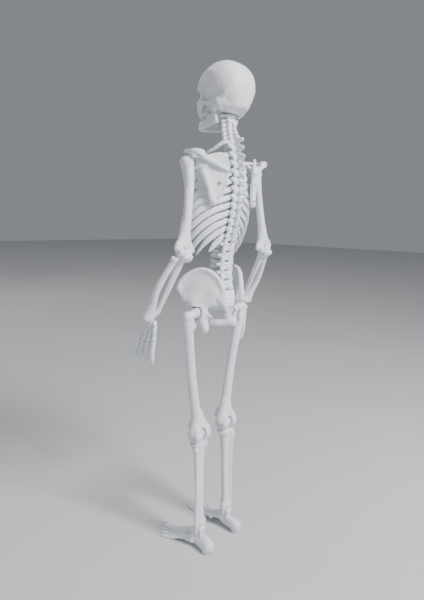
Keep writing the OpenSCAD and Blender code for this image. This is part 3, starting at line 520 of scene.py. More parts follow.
def skull():
    f = Field((-23, -19, 402), (23, 41, 455.5), 0.46)
    f.resized = vec(0, NECK_Y, SKULL_TOP), vec(0.93, 0.9, 1)
    f.add(egg((0, 13.8, 432), (21, 26.2, 20.9)), 1)
    f.both(egg((7.4, 20.6, 434.6), (14.2, 16.4, 16.4)), 6)
    f.add(egg((0, 2, 436), (16.8, 13.6, 14.6)), 8)
    f.add(egg((0, 10.4, 435.6), (19.2, 16.6, 17)), 8)
    f.add(egg((0, 24.4, 424), (15.6, 12.2, 12.5)), 6)
    f.both(egg((26, -3.4, 427), (8.2, 11, 9.5)), 5, cut=True)
    # Ridges of the vault: temple line, crest above the ear, and the line where the neck attaches
    temple = [(14.4, -9.5, 434), (16.6, -3.5, 440.5), (18.6, 6, 443.6), (19.4, 15, 442)]
    f.both(chain(smooth_path(temple, 9), 0.5), 4)
    f.both(chain([(19.2, 21, 419.6), (18.4, 27.6, 424.4), (14.8, 34, 431)], [1.2, 1.3, 0.9]), 2.6)
    f.both(chain([(0, 34, 417.4), (8, 31, 416), (13.4, 25, 415.4)], [1.4, 1.2, 1.1]), 4)
    # Face
    f.add(egg((0, -3.6, 425.4), (11.4, 9.4, 10.8)), 2)
    f.add(egg((0, -6, 415.8), (9.6, 9, 5.6)), 2)
    f.both(bar((14.3, -7.6, 420.2), (11, -10, 415), 3.2, 2.8), 2)
    f.both(bar((11, -10, 415), (7.4, -12, 412.6), 2.8, 3), 2)
    rim = [(3.4, -14, 432), (8.8, -14.6, 434.4), (14.2, -9.4, 433.2), (17, -2.6, 428), (16.4, -4, 422.4),
           (13.6, -9.4, 420), (8, -12.6, 419.8), (4, -14, 423)]
    f.both(chain(rim, [2, 2.1, 2, 1.6, 1.9, 2.2, 1.9, 1.6]), 1.6)
    f.both(lathe((11.2, -20.5, 427.4), (6.4, -1, 425.8),
                 [(0, 6.4), (0.35, 6.2), (0.6, 5.3), (0.85, 3), (1, 1)], ((1, 0, 0), 2, 0.07)), 1, cut=True)
    f.add(bar((0, -13.2, 432.6), (0, -17, 425.4), 2.5, 1.6, (1, 0, 0), 0.9), 1)
    f.cut([egg((0, -17.5, 418), (3.2, 6.4, 3.4)), egg((0, -17.5, 421.6), (2, 6, 3.4))], 0.8)
    f.add(bar((0, -12.6, 415), (0, -11.8, 423.6), 0.45), 0.6)
    f.add(bar((0, -13, 414.6), (0, -15.4, 414.4), 0.9, 0.5), 0.6)
    # Upper jaw
    gum = [dental_arch(8.4, 11.6, -13.4, math.radians(a)) + vec(0, -2.2, 412.9) for a in range(0, 91, 10)]
    f.both(chain(gum, 2.1), 1.4)
    f.both(teeth(8.8, 12.6, -16.6, 411.6, 408.9, 1), 0.5)
    # Cheek arch, bone behind the ear and a small round pit cut beside it
    arch = [(14.6, -6.6, 420.2), (18.6, -0.5, 419.6), (20.1, 6.5, 418.6), (19.2, 13, 418.2), (18, 17, 418.4)]
    radii = [2.4, 2.1, 1.9, 1.8, 1.7, 1.7, 1.8, 2, 2.4]
    f.both(chain(smooth_path(arch, 9), radii, (1, 0, 0.1), 0.75), 2.4)
    f.both(bar((14.8, 20.6, 418), (15.4, 19.6, 414.4), 4.8, 3), 4)
    f.both(ball((20.4, 18.6, 415.6), 1.5), 0.8, cut=True)
    # Underside: room for the neck, the hinge of the jaw and the rod
    f.resized = None
    f.both(bar((17.9, JAW[1] + 0.5, JAW[2] + 0.5), (17, 17.4, 418), 1.5, 3.4), 3)
    f.both(disc((18.1, JAW[1], JAW[2]), (1, 0, 0), 1, 2.3), 0.6)
    f.cut(block((-9, -4, 398), (9, 21, SKULL_BASE)), 0.8)
    f.cut(disc((0, NECK_Y, 404.8), (0, 0, 1), SKULL_BASE - 404.8, 10.5), 0.8)
    f.both(bar((5.6, 2.4, 414.6), (5.2, 0.6, 411.9), 1.5, 0.7, (1, 0, 0), 0.6), 1)
    f.both(disc((15.5, JAW[1], JAW[2]), (1, 0, 0), 1.6, 2.5), 0.3, cut=True)
    f.cut(bar((0, NECK_Y, 408), (0, NECK_Y, 421.6), ROD_BORE), 0.2)
    return f.surface()


def jaw():
    f = Field((-18.5, -19.5, 396), (18.5, 17, 417), 0.4)
    f.resized = vec(0, NECK_Y, JAW[2]), vec(0.97, 0.9, 0.79)
    lower = [(12.9, 12.4, 402), (12.8, 6, 399.8), (11.6, -3, 398.2), (8.6, -11, 398.2), (4.8, -15.6, 398.4),
             (0, -17, 398.8)]
    upper = [(14, 7, 404), (13.4, 2, 403.2), (11, -5, 403.4), (8, -11.6, 403.9), (4.4, -15.4, 404.4),
             (0, -16.8, 404.6)]
    f.both(web(lower, upper, 1.8, 1.7, 34), 1.2)
    f.both(web([(13, 12.6, 402), (14.2, 13.4, 404.4), (15.1, 13.4, 408)],
               [(13.6, 3.4, 400.5), (14, 2.8, 404.5), (14.4, 4.6, 408)], 1.6, 1.35, 26), 1)
    f.both(chain([(14.1, 4.8, 405), (14.4, 3.9, 409), (14.4, 4.4, 411)], [1.3, 1, 0.6]), 1)
    f.both(chain([(14.9, 12.2, 405.6), (15.3, 12.9, 409), (15.6, 13, 412)], [1.5, 1.3, 1.3]), 1)
    f.both(ball((12.9, 11.4, 402), 2), 2)
    f.add(egg((0, -17.6, 399.8), (2.8, 1.7, 2.6)), 2)
    f.both(ball((3.8, -16.6, 399.2), 1.7), 1.8)
    f.both(teeth(8.4, 12, -16.2, 404.6, 407, 1), 0.5)
    f.resized = None
    f.both(disc((15.6, JAW[1], JAW[2]), (1, 0, 0), 1.2, 1.95), 0.5)
    return f.surface()


# ---- Spine ----

class Vertebra:
    """Shapes of one vertebra in its own directions: x left, y back and z along the spine."""

    def __init__(self, z_low, z_high, r):
        low, high = spine_point(z_low), spine_point(z_high)
        self.up = unit(high - low)
        self.back = unit(np.cross(self.up, vec(1, 0, 0)))
        self.centre = mix(low, high, 0.5)
        self.h = np.linalg.norm(high - low) - DISC
        self.r = r

    def at(self, x, y, z):
        return self.centre + vec(x, 0, 0) + self.back * y + self.up * z

    def body(self):
        r = self.r
        half = [(0, r * 0.96), (0.09, r), (0.24, r * 0.9)]
        waist = half + [(0.5, r * 0.83)] + [(1 - t, radius) for t, radius in half[::-1]]
        return lathe(self.at(0, 0, -self.h / 2), self.at(0, 0, self.h / 2), waist, ((1, 0, 0), 2, 0.05))

    def arch(self, thick=1.1):
        """Arch behind the body: two sloping plates, and the joints that reach to the next vertebrae."""
        r, h, joint_x = self.r, self.h, self.r * 0.78

        def strut(x0, y0, z0, x1, y1, z1, r0, r1):
            return bar(self.at(x0, r + y0, h * z0), self.at(x1, r + y1, h * z1), thick * r0, thick * r1)

        return [
            strut(r * 0.5, -r * 0.4, 0.14, joint_x, 1.8, 0.1, 1.1, 1.1),
            strut(joint_x, 1.9, 0.24, 0.6, 3.1, 0.06, 1.2, 1.3),
            strut(joint_x, 2.2, -0.3, 0.5, 3.4, -0.34, 1.15, 1.25),
            strut(joint_x, 2.6, -0.62, joint_x + 0.2, 1.9, 0.56, 1.3, 1.15),
            ball(self.at(joint_x + 0.3, r + 2.9, -h * 0.5), thick * 1.15),
        ]

    def side(self, reach, back, rise, radii=(1.3, 1, 1.25)):
        r = self.r
        knee = self.at(mix(r * 0.6, reach, 0.5), r + mix(1.6, back, 0.6), rise * 0.35)
        return chain([self.at(r * 0.6, r + 1.5, 0), knee, self.at(reach, r + back, rise)], radii)

    def spine(self, reach, drop, radii=(1.5, 1.2, 1.3), thin=0.62):
        """Spike at the back, deep from top to bottom and thin from side to side."""
        edges = []
        for root, waist, tip in ((-1.2, -0.9, -0.3), (1.2, 0.8, 0.3)):
            places = [(2.4, root), (mix(2.4, reach, 0.55), waist - drop * 0.5), (reach, tip - drop)]
            edges += chain([self.at(0, self.r + y, z) for y, z in places], radii, (1, 0, 0), thin)
        return edges

    def fork(self, points, radii):
        """Left half of a spike with two tips, from points given as (x, distance behind the body, z)."""
        return chain([self.at(x, self.r + y, z) for x, y, z in points], radii)


def neck_field():
    return Field((-12, -1, 382), (12, 36, 413), 0.36)


def atlas():
    f = neck_field()
    v = Vertebra(NECK_TOP - CERVICAL_STEP, NECK_TOP + DISC / 2, 4.4)
    h = v.h
    ring = [v.at(4.8 * math.sin(a), 2.2 - 5.9 * math.cos(a), 0) for a in np.linspace(0, math.pi, 9)]
    f.both(chain(ring, 1.5, v.up, 1), 0.8)
    f.both(egg(v.at(5.2, 1.2, 0), (2.5, 3.3, h * 0.6)), 0.8)
    f.both(v.side(8.9, -1.5, -0.3, (1.5, 1.3, 1.6)), 1)
    f.add(disc(v.centre, v.up, h / 2, 3.3), 0.8)
    f.cut(block((-12, 0, SKULL_BASE - GAP), (12, 36, 414)), 0.3)
    return f.surface()


def axis():
    f = neck_field()
    z = NECK_TOP - 2 * CERVICAL_STEP
    v = Vertebra(z, z + CERVICAL_STEP, 4.3)
    f.add(v.body(), 0.5)
    f.both(v.arch(1.45), 1)
    f.both(v.side(7.4, -2, -0.5, (1.6, 1.4, 1.5)), 0.9)
    f.both(v.fork([(0, 2, 0.2), (0.4, 4, -1), (0.9, 5.2, -2.4)], [1.8, 1.5, 1.3]), 0.9)
    return f.surface()


def neck():
    f = neck_field()
    for i in range(5):
        z = THORACIC_TOP + i * CERVICAL_STEP
        v = Vertebra(z, z + CERVICAL_STEP, 4.2)
        f.add(v.body(), 0.4)
        f.both(v.arch(1.4), 0.9)
        f.both(bar(v.at(5.3, 2.2, -v.h * 0.5), v.at(5.4, 2.4, v.h * 0.5), 1.7, 1.6), 0.8)
        f.both(v.side(7.2 + 0.3 * (i % 2), -1.2, -0.7, (1.6, 1.4, 1.45)), 0.8)
        if i == 0:
            f.add(v.spine(12, 1.8, (2.1, 1.7, 1.45), 0.75), 0.8)
        else:
            tip = 6.6 + (0, 1.4, 0.4, -0.4, -0.8)[i]
            f.both(v.fork([(0, 2, 0), (0.3, tip - 2.4, -0.5), (0.9, tip, -1.1)], [1.8, 1.5, 1.25]), 0.8)
    return f.surface()


def chest_spine():
    f = Field((-12.5, 5, 299), (12.5, 38, 386.5), 0.4)
    for i in range(12):
        z = LUMBAR_TOP + i * THORACIC_STEP
        v = Vertebra(z, z + THORACIC_STEP, 5.3 - i * 0.08)
        f.add(v.body(), 0.4)
        f.both(v.arch(1.25), 0.9)
        side = min(8.8, 6.8 + i * 0.25)
        f.both(v.side(side, 3.3, 0.9, (1.7, 1.5, 1.95)), 0.9)
        lean = math.sin(math.pi * min(1, (i + 0.5) / 10))
        sway = 0.35 * math.sin(2.3 * i)
        longer = (0, 0, 0, 0, 0, 0, 0, 0.3, 1, 2, 3, 3.4)[i]
        deep = 1 + 0.16 * longer
        radii = (1.9 * deep, 1.55 * deep, 1.4)
        f.add(v.spine(7.6 - 0.5 * lean + longer, 2 + 1.8 * lean, radii, 0.72 / deep ** 0.6), 0.8)
        f.add(egg(v.at(sway, v.r + 7 - 0.4 * lean + longer, -2.4 - 1.6 * lean), (1.2, 1.2, 1.6)), 1.2)
    return f.surface()


def loin_spine():
    f = Field((-15, -5.5, 251.5), (15, 26.5, 306.5), 0.42)
    for i in range(5):
        z = SPINE_BOTTOM + i * LUMBAR_STEP
        v = Vertebra(z, z + LUMBAR_STEP, 8 - i * 0.16)
        v.centre = v.centre - v.back * 1.5
        f.add(v.body(), 0.5)
        f.both(v.arch(1.5), 1.1)
        sway = 0.9 * math.sin(i * 1.7)
        reach = 10.4 - 0.7 * abs(i - 2)
        f.both(v.side(reach, 0.6, 0.9 + sway, (2, 1.4, 1.5)), 1.2)
        f.both(egg(v.at(v.r * 0.74, v.r + 2.2, v.h * 0.3), (1.7, 1.5, 1.5)), 1)
        lower = [v.at(0, v.r + 2, -1.8), v.at(0.3 * sway, v.r + 5, -2.6)]
        upper = [v.at(0, v.r + 2, 1.4), v.at(0.3 * sway, v.r + 4.2, 0.9)]
        f.add(web(lower, upper, 1.7, 1, 9), 1.6)
    return f.surface()


def sacrum():
    f = Field((-14.5, 3, 235), (14.5, 29.5, 259), 0.4)
    down = unit(spine_point(SPINE_BOTTOM - 1) - spine_point(SPINE_BOTTOM + 1))
    top = vec(0, spine_y(SPINE_BOTTOM), SPINE_BOTTOM - DISC / 2)
    flared = [(0, 6), (0.15, 6.3), (0.6, 5.9), (1, 5.6)]
    f.add(lathe(top, top + down * 5.5, flared, ((1, 0, 0), 2, 0.06)), 0.5)
    levels = [(253, 8.9, 17.6, 3.3), (249.2, 8.2, 19.6, 3), (245.6, 6.8, 21.1, 2.6), (242.2, 5, 21.7, 2.2),
              (239, 3, 21.3, 1.9)]
    f.add([bar((-w, y, z), (w, y, z), r, r) for z, w, y, r in levels], 1.6)
    f.both(bar((5.6, 13.4, 254.8), (10, 18, 252.6), 2.6, 2.4), 2)
    f.both(bar((10.2, 17.6, 252.8), (8.6, 19.8, 245.8), 2.1, 1.7), 2)
    for z, w, y, r in levels[:4]:
        f.both(bar((w * 0.42 + 0.6, y - 6, z - 1.8), (w * 0.42 + 0.9, y + 6, z - 1.6), 0.65), 1.4, cut=True)
        f.add(egg((0, y + r * 0.7, z + 0.2), (1.2, 1.9, 1.7)), 2)
        f.both(egg((w * 0.42 + 2.4, y + r * 0.65, z), (1.3, 1, 1.5)), 2)
    f.both(bar((5, 14.5, 256), (5.2, 16.6, 258), 1.2, 1), 1)
    return f.surface()


def tail_bone():
    f = Field((-3.5, 14, 229), (3.5, 25, 239.5), 0.25)
    pieces = [(20.9, 236.6, 2), (20.2, 234.6, 1.5), (19.3, 233.1, 1.15), (18.5, 232.1, 0.8)]
    f.add([egg((0, y, z), (r, r * 0.72, 1.2)) for y, z, r in pieces], 1.4)
    return f.surface()


# ---- Rib cage ----

RIB_WIDTH = [17, 23.5, 28.5, 32.5, 35.5, 37.5, 38.6, 38.2, 35.8, 31.8, 27, 22.5]
RIB_DROP = [13, 16, 20, 26, 33, 40, 45, 49, 51, 51, 49, 57]
RIB_LIFT = [4.8, 2.4, 0.8, 0, 0, 0, 0, 0, 0, 0, 0, 0]
RIB_ROOT_LIFT = [6, 2.2, 0.6, 0, 0, 0, 0, 0, 0, 0, 0, 0]
RIB_FRONT = [-6, -10, -13, -15, -17, -18.5, -19, -19, -18, -16, -12, -6]
RIB_END = [150, 148, 146, 144, 142, 138, 134, 126, 116, 108, 88, 60]
RIB_SIDES = 14
RIB_RINGS = 54
FIRST_FLOATING = 10


def rib_z(i):
    return THORACIC_TOP - (i + 0.5) * THORACIC_STEP


def rib_back(i):
    return spine_y(rib_z(i)) + 6.6


def rib_point(i, degrees):
    """Place on rib i; 0 degrees is at the spine and 180 at the breastbone."""
    a = math.radians(degrees)
    return vec(
        RIB_WIDTH[i] * math.sin(a),
        mix(RIB_FRONT[i], rib_back(i), (1 + math.cos(a)) / 2),
        rib_z(i) - 0.6 + RIB_LIFT[i] * math.sin(a) - RIB_DROP[i] * (1 - math.cos(a)) / 2,
    )


def rib(i):
    start = math.degrees(math.asin(min(0.9, 11.5 / RIB_WIDTH[i])))
    route = [vec(3.4, spine_y(rib_z(i)) + 1.5, rib_z(i) + 0.4), vec(7.2, rib_back(i) - 1.6, rib_z(i))]
    route += [rib_point(i, a) for a in np.linspace(start, RIB_END[i], 10)]
    path = smooth_path(route, RIB_RINGS)
    t = np.linspace(0, 1, RIB_RINGS)
    path[:, 2] += RIB_ROOT_LIFT[i] * np.interp(t, [0, 0.08, 0.4], [0.6, 1, 0])
    places = [0, 0.03, 0.08, 0.14, 0.24, 0.6, 0.93, 1]
    tall = np.interp(t, places, [1.4, 1.7, 1.5, 2, 2.55, 2.65, 2.5, 1.8])
    thick = np.interp(t, places, [1.2, 1.4, 1.2, 1.5, 1.25, 1.1, 1.25, 1.2])
    if i >= FIRST_FLOATING:
        tall = tall * np.interp(t, [0, 0.6, 1], [1, 0.9, 0.45])
        thick = thick * np.interp(t, [0, 0.7, 1], [1, 0.9, 0.6])
    # The first ribs lie flat, the others stand upright and lean in a little at the front
    outward = path - vec(0, 6, 0)
    outward[:, 2] = 0
    outward /= np.linalg.norm(outward, axis=1)[:, None]
    flat = (1.1, 0.45)[i] if i < 2 else 0.12
    up = vec(0, 0, 1) - outward * flat
    return band(path, np.stack([tall, thick], 1), up, 2.6, RIB_SIDES, 0.35)


STERNUM_TOP = vec(0, -7.6, 370)
STERNUM_LOW = vec(0, -18.2, 322)
SEATS = [(7.5, 0.1), (4.4, 0.3), (4.6, 0.42), (5.2, 0.53), (5.8, 0.64), (5.6, 0.73), (4.4, 0.79)]


def on_sternum(x, t):
    return mix(STERNUM_TOP, STERNUM_LOW, t) + vec(x, 0, 0)


def rib_tip(i):
    return rib_point(i, RIB_END[i] - 3)


def cartilages():
    """Left-hand cartilages: seven reach the breastbone and three run up to the one above."""
    made = []
    for i in range(10):
        a = rib_tip(i)
        if i < 7:
            b = on_sternum(*SEATS[i])
            sag = -2 if i > 1 and a[2] < b[2] - 4 else 0
            middle = mix(a, b, 0.45) + vec(0, -1.2, sag)
        else:
            seventh = mix(rib_tip(6), on_sternum(*SEATS[6]), 0.5)
            b = seventh + vec(0, -1.2, -2) if i == 7 else rib_tip(i - 1) + vec(-5, -3, 1.5)
            middle = mix(a, b, 0.5) + vec(0.6, -0.8, -1)
        path = smooth_path([a, mix(a, middle, 0.5), middle, mix(middle, b, 0.55), b], 22)
        t = np.linspace(0, 1, 22)
        bead = 1 + 0.22 * np.exp(-((t - 0.06) / 0.07) ** 2) + 0.03 * np.sin(t * 21)
        size = np.stack([1.55 * bead, 1.25 * bead], 1)
        made.append(band(path, size, vec(0, 0, 1) + np.zeros((22, 3)), 2.2, 12))
    return made


def breastbone():
    f = Field((-11.5, -24, 316), (11.5, -1, 373), 0.4)
    up = unit(STERNUM_TOP - STERNUM_LOW)
    length = np.linalg.norm(STERNUM_TOP - STERNUM_LOW)
    half = [(2.4, -1.6), (4.6, -0.6), (9, -3), (9, -6), (5.4, -13.4), (4.6, -15), (5.6, -24), (6.4, -33),
            (4.6, -38), (1.9, -40.5), (1.3, -length + 1.6)]
    outline = half + [(-x, z) for x, z in half[::-1]]

    def ripple(s, z):
        return 0.25 * np.cos(z * 0.9)

    f.add(plate(STERNUM_TOP, (1, 0, 0), up, outline, 1.25, 0.3, 1.6, ripple), 0.5)
    for z, r in ((-14.6, 0.75), (-20.6, 0.45), (-26.2, 0.45), (-31.6, 0.45)):
        centre = STERNUM_TOP + up * z
        f.add(bar(centre - vec(4, 0, 0), centre + vec(4, 0, 0), r), 1.6)
    return f.surface()


def true_ribs():
    return joined([rib(i) for i in range(7)])


def false_ribs():
    return joined([rib(i) for i in range(7, 12)])


# ---- Shoulder girdle ----

BLADE_ORIGIN = vec(19, 32, 0)
BLADE_DIR = unit((25, -17, 0))
BLADE_NORMAL = vec(-BLADE_DIR[1], BLADE_DIR[0], 0)


def on_blade(s, z, n):
    """Place s along the blade outwards, at height z and n off it, towards the back."""
    return BLADE_ORIGIN + BLADE_DIR * s + BLADE_NORMAL * n + vec(0, 0, z)


def collar_bone():
    start, end = vec(8.4, -8.6, 371.4), vec(46.4, 11.4, 374.6)
    route = [start, start + vec(4, -1.6, 0.4), mix(start, end, 0.28) + vec(0, -4, 0.4),
             mix(start, end, 0.5) + vec(0, -1, 0.6), mix(start, end, 0.75) + vec(0, 2.4, 0.5),
             mix(start, end, 0.92) + vec(0, 1.4, 0.2), end]
    path = smooth_path(route, 60)
    t = np.linspace(0, 1, 60)
    tall = np.interp(t, [0, 0.06, 0.2, 0.5, 0.8, 1], [2.2, 2.2, 1.75, 1.6, 1.4, 1.1])
    wide = np.interp(t, [0, 0.06, 0.2, 0.5, 0.8, 0.95, 1], [2.2, 2.4, 1.9, 1.8, 2.1, 2.4, 1.9])
    return band(path, np.stack([tall, wide], 1), vec(0, 0, 1) + np.zeros((60, 3)), 2.2, 18)


def shoulder_blade():
    f = Field((14.5, -1.5, 328), (58, 36.5, 379.5), 0.44)
    outline = [(0, 372), (-2.2, 366), (-1.4, 352), (2, 342), (6.6, 335), (10.6, 332.4), (13.6, 333.2),
               (15.2, 338), (16.8, 347), (19.8, 356), (24, 363), (26, 370.4), (19.6, 372), (13, 374.6),
               (4, 376)]

    def hollow(s, z):
        return 2.2 * np.exp(-((s - 7) / 9) ** 2 - ((z - 347) / 16) ** 2)

    f.add(plate(BLADE_ORIGIN, BLADE_DIR, (0, 0, 1), outline, 1.15, 0.25, 4, hollow), 0.6)
    lateral = [on_blade(13, 336, 0.2), on_blade(15.6, 346, 0.1), on_blade(20.6, 358.5, 0)]
    f.add(chain(smooth_path(lateral, 8), np.linspace(1.25, 2.6, 8)), 3.4)
    f.add(egg(on_blade(10.2, 335.8, 0), (2.6, 1.7, 2.8)), 3)
    # The blade's spine rises towards the acromion, and its edge widens into a long lens
    low = [on_blade(0.4, 362.4, 0.6), on_blade(12, 366.4, 0.6), on_blade(24, 370.2, 1)]
    crest = [on_blade(-0.6, 361.6, 1), on_blade(9, 365.4, 3.4), on_blade(17, 369, 5.6),
             on_blade(23, 371.6, 7.2), vec(43, 26.4, 372.6), vec(47, 24.6, 373.4), vec(49.4, 20.6, 374.2)]
    f.add(web(low, crest[:4], 1.1, 1, 30), 1.4)
    line = smooth_path(crest, 26)
    tall = np.interp(np.linspace(0, 1, 26), [0, 0.2, 0.45, 0.7, 0.85, 1], [0.2, 0.9, 1.5, 1.8, 1, 0])
    rise = np.outer(tall, (0, 0, 1))
    f.add(web(line - rise, line + rise * 0.7, 1.2, 1.1, 44), 1.4)
    acromion = [(40.4, 24.6), (45, 25.6), (48.8, 24), (51, 19.4), (51.2, 13), (49.8, 9.8), (46.8, 11),
                (46.6, 16.6), (44, 20.2), (41, 22)]
    f.add(plate((0, 0, 374.3), (1, 0, 0), (0, 1, 0), acromion, 1.5, 0.1, 2), 3)
    # Neck, socket and the beak over it
    f.add(bar(on_blade(20, 365, 0), SHOULDER + vec(-8.2, 2.2, 0), 3.6, 5), 2.5)
    f.add(disc(SHOULDER + vec(-4.6, 0.6, 0), (1, 0.12, 0), 1.6, 5.2), 1.5)
    beak = smooth_path([(35.6, 13.4, 370), (38, 7.6, 371.8), (40.6, 3, 370.9), (44.2, 1.8, 368)], 9)
    f.add(chain(beak, [2.2, 2, 1.9, 1.8, 1.8, 1.8, 1.7, 1.5, 1.1]), 1.5)
    f.cut(ball(SHOULDER, SHOULDER_BALL + GAP), 0.4)
    f.cut(block((41.6, 2, 362), (60, 20.4, 372.7)), 0.9)
    f.cut(swivel_bore(SHOULDER), 0.2)
    return f.surface()


def swivel_slot(centre, ball_r):
    """The slot in a ball for the tab of its swivel, open inward and upward."""
    half, room = ball_r * 0.2 + GAP, ball_r * 0.5 + GAP
    x, y, z = centre
    return [
        disc(centre, (0, 1, 0), half, room),
        block((x - 2 * ball_r, y - half, z - room), (x, y + half, z + 2 * ball_r)),
        block((x - room, y - half, z), (x + room, y + half, z + 2 * ball_r)),
    ]


def swivel_bore(centre):
    """The swivel's pin runs inwards from the ball."""
    return bar(centre - vec(SWIVEL_REACH, 0, 0), centre, SWIVEL_BORE)


# ---- Arm ----

EYE_HALF = 1.9
ELBOW_R = 3.7
HOOK_REACH = 5.7
THUMB_SIDE = -ELBOW_AXIS
BEND_WAY = np.cross(ELBOW_AXIS, FOREARM)  # the way the forearm goes when the elbow bends
HOOK_ANGLES = range(-6, 101, 12)


def field_around(points, reach, step):
    """Grid that holds the points with reach around them."""
    points = np.asarray(points, float)
    return Field(points.min(0) - reach, points.max(0) + reach, step)


def upper_arm():
    f = field_around([SHOULDER, ELBOW], 11.5, 0.44)
    foot = ELBOW - ARM * 6.5
    f.add(ball(SHOULDER, SHOULDER_BALL), 0.5)
    route = smooth_path([SHOULDER + ARM * 2 + vec(-0.8, 0.6, 0), SHOULDER + ARM * 20 + vec(-2.2, 1.4, 0),
                         SHOULDER + ARM * 46 + vec(-1.4, 1, 0), foot], 16)
    places = [0, 0.08, 0.18, 0.3, 0.5, 0.75, 0.9, 1]
    f.add(chain(route, np.interp(np.linspace(0, 1, 16), places, [4.4, 4.6, 4.3, 3.8, 3.5, 3.7, 4.2, 4])), 1.5)
    f.add(ball(SHOULDER + vec(1.7, 1, -1.6), 3.3), 1.4)
    f.add(ball(SHOULDER + vec(0.6, -3.5, -1.8), 2.3), 1.2)
    f.add(bar(SHOULDER + vec(1.4, -3, -4), route[5] + vec(1.4, -2, 0), 1.6, 1), 2)
    f.add(bar(route[6] + vec(2, 0, 0), route[8] + vec(1.6, 0, 0), 1.3, 1.1), 2.5)
    # Flare above the elbow, its two knuckles and the roller
    for side, knuckle in ((1, 10), (-1, 8.4)):
        out = ELBOW_AXIS * side
        f.add(bar(foot - ARM * 15, ELBOW + out * 6.4 - ARM * 3.4, 2.8, 2.9), 2.5)
        f.add(bar(ELBOW + out * 7 - ARM * 6.4, ELBOW + out * knuckle - ARM * 2.8, 2.5, 2.2), 2.2)
    roller = [(0, 2.7), (0.06, 3.3), (0.2, ELBOW_R), (0.36, 3.4), (0.64, 3.4), (0.82, ELBOW_R), (0.94, 3.4),
              (1, 2.8)]
    f.add(lathe(ELBOW - ELBOW_AXIS * 7.2, ELBOW + ELBOW_AXIS * 7.2, roller), 1)
    f.cut(disc(ELBOW, ELBOW_AXIS, EYE_HALF + GAP, ELBOW_R + 0.9), 0.3)
    f.cut(swivel_slot(SHOULDER, SHOULDER_BALL), 0.3)
    return f.surface()


def inner_forearm():
    f = field_around([ELBOW, WRIST], 8, 0.38)
    end = WRIST - THUMB_SIDE * 4 - FOREARM * 3.4
    start = ELBOW + FOREARM * 2.4 - THUMB_SIDE * 0.4
    f.add(disc(ELBOW, ELBOW_AXIS, EYE_HALF - 0.2, ELBOW_R + 0.4), 0.5)
    f.add(disc(ELBOW, ELBOW_AXIS, EYE_HALF, ELBOW_R - 0.4), 0.5)
    shaft = [(0, 1.7), (0.04, 2.2), (0.08, 3.1), (0.2, 3.1), (0.35, 2.8), (0.6, 2.4), (0.85, 2), (0.93, 2.2),
             (0.98, 2.2), (1, 1.6)]
    f.add(lathe(start, end, shaft, (THUMB_SIDE, 3, 0.08)), 1)
    f.add(bar(end - THUMB_SIDE * 0.7, end - THUMB_SIDE * 1.2 + FOREARM * 1.9, 1.2, 0.8), 0.8)
    f.add(ball(start + FOREARM * 7.5 + BEND_WAY * 1.2, 1.9), 1.6)
    # Hook round the roller, from its front edge to behind it
    for degrees in HOOK_ANGLES:
        a = math.radians(degrees)
        place = ELBOW + (FOREARM * math.cos(a) - BEND_WAY * math.sin(a)) * HOOK_REACH
        half = ELBOW_AXIS * (4.6 - 0.012 * abs(degrees))
        f.add(bar(place - half, place + half, 1.55), 1.6)
    return f.surface()


def outer_forearm():
    f = field_around([ELBOW, WRIST], 10.5, 0.4)
    start = ELBOW + FOREARM * 4.8 + THUMB_SIDE * 7.2
    end = WRIST + THUMB_SIDE * 4.6 + FOREARM * 0.2
    bow = mix(start, end, 0.52) + THUMB_SIDE * 4
    head = [(0, 2.6), (0.1, 3), (0.38, 3.1), (0.7, 2.5), (1, 2.4)]
    f.add(lathe(start, start + unit(end - start) * 7, head), 0.8)
    route = smooth_path([start + FOREARM * 4, bow, end - FOREARM * 7 + THUMB_SIDE * 0.3], 10)
    f.add(chain(route, np.linspace(2.4, 3.7, 10)), 0.8)
    foot = [(0, 3.1), (0.3, 3.7), (0.6, 4.5), (0.85, 5.3), (0.96, 5.5), (1, 5)]
    f.add(lathe(end - unit(end - bow) * 14, end, foot, (THUMB_SIDE, 2, 0.12)), 1.6)
    f.add(ball(start + FOREARM * 10 - THUMB_SIDE * 1.2, 1.6), 1.2)
    f.add(bar(end + THUMB_SIDE * 2.6 - FOREARM * 1.5, end + THUMB_SIDE * 3.4 + FOREARM * 0.9, 1.8, 1.2), 0.9)
    f.add(bar(end - FOREARM * 3, end - THUMB_SIDE * 4.6 - FOREARM * 3, 3.2, 2.6), 2)
    f.cut(ball(WRIST, 2.6), 0.5)
    return f.surface()


THUMB_HINT = vec(0.1, -1, 0.2)
THUMB_WAY = unit(THUMB_HINT - HAND * (THUMB_HINT @ HAND))
HAND_BACK = np.cross(THUMB_WAY, HAND)
FINGER_ROOT = [5.4, 2.4, -0.6, -3.4]
KNUCKLE_SIDE = [12, 6.2, 0.3, -5.6]
KNUCKLE_ALONG = [22.4, 23, 22, 20.6]
FINGER_BONES = [(9.4, 5.8, 4.4), (10.4, 6.6, 4.8), (10.2, 6.8, 5), (9.6, 6.4, 5)]
FINGER_FAN = 0.007
FINGER_RADII = [2.35, 2.05, 2.3, 1.95, 2.1, 1.75, 1.5]


def in_hand(along, side, off):
    """Place in the hand: along it from the wrist, side towards the thumb, off towards its back."""
    return WRIST + HAND * along + THUMB_WAY * side + HAND_BACK * off


THUMB = [in_hand(6.8, 6.6, -1.8), in_hand(13.8, 8.2, -4.6), in_hand(21, 8.4, -7), in_hand(27.2, 7.6, -8.4)]
HAND_CORNERS = [in_hand(a, s, o) for a in (-3, 48) for s in (-10, 13.5) for o in (-11, 4.5)]


def small_bone(a, b, r_base, r_shaft, r_head):
    """Bone of a hand or foot: wide base, slight waist, and a rounded head."""
    a, b = vec(*a), vec(*b)
    z = unit(b - a)
    a, b = a + z * r_base * 0.6, b - z * r_head * 0.8
    waist = [(0, r_base * 0.97), (0.14, r_base * 0.92), (0.36, r_shaft), (0.62, r_shaft),
             (0.86, r_head * 0.93), (1, r_head)]
    return [lathe(a, b, waist), ball(a, r_base), ball(b, r_head)]


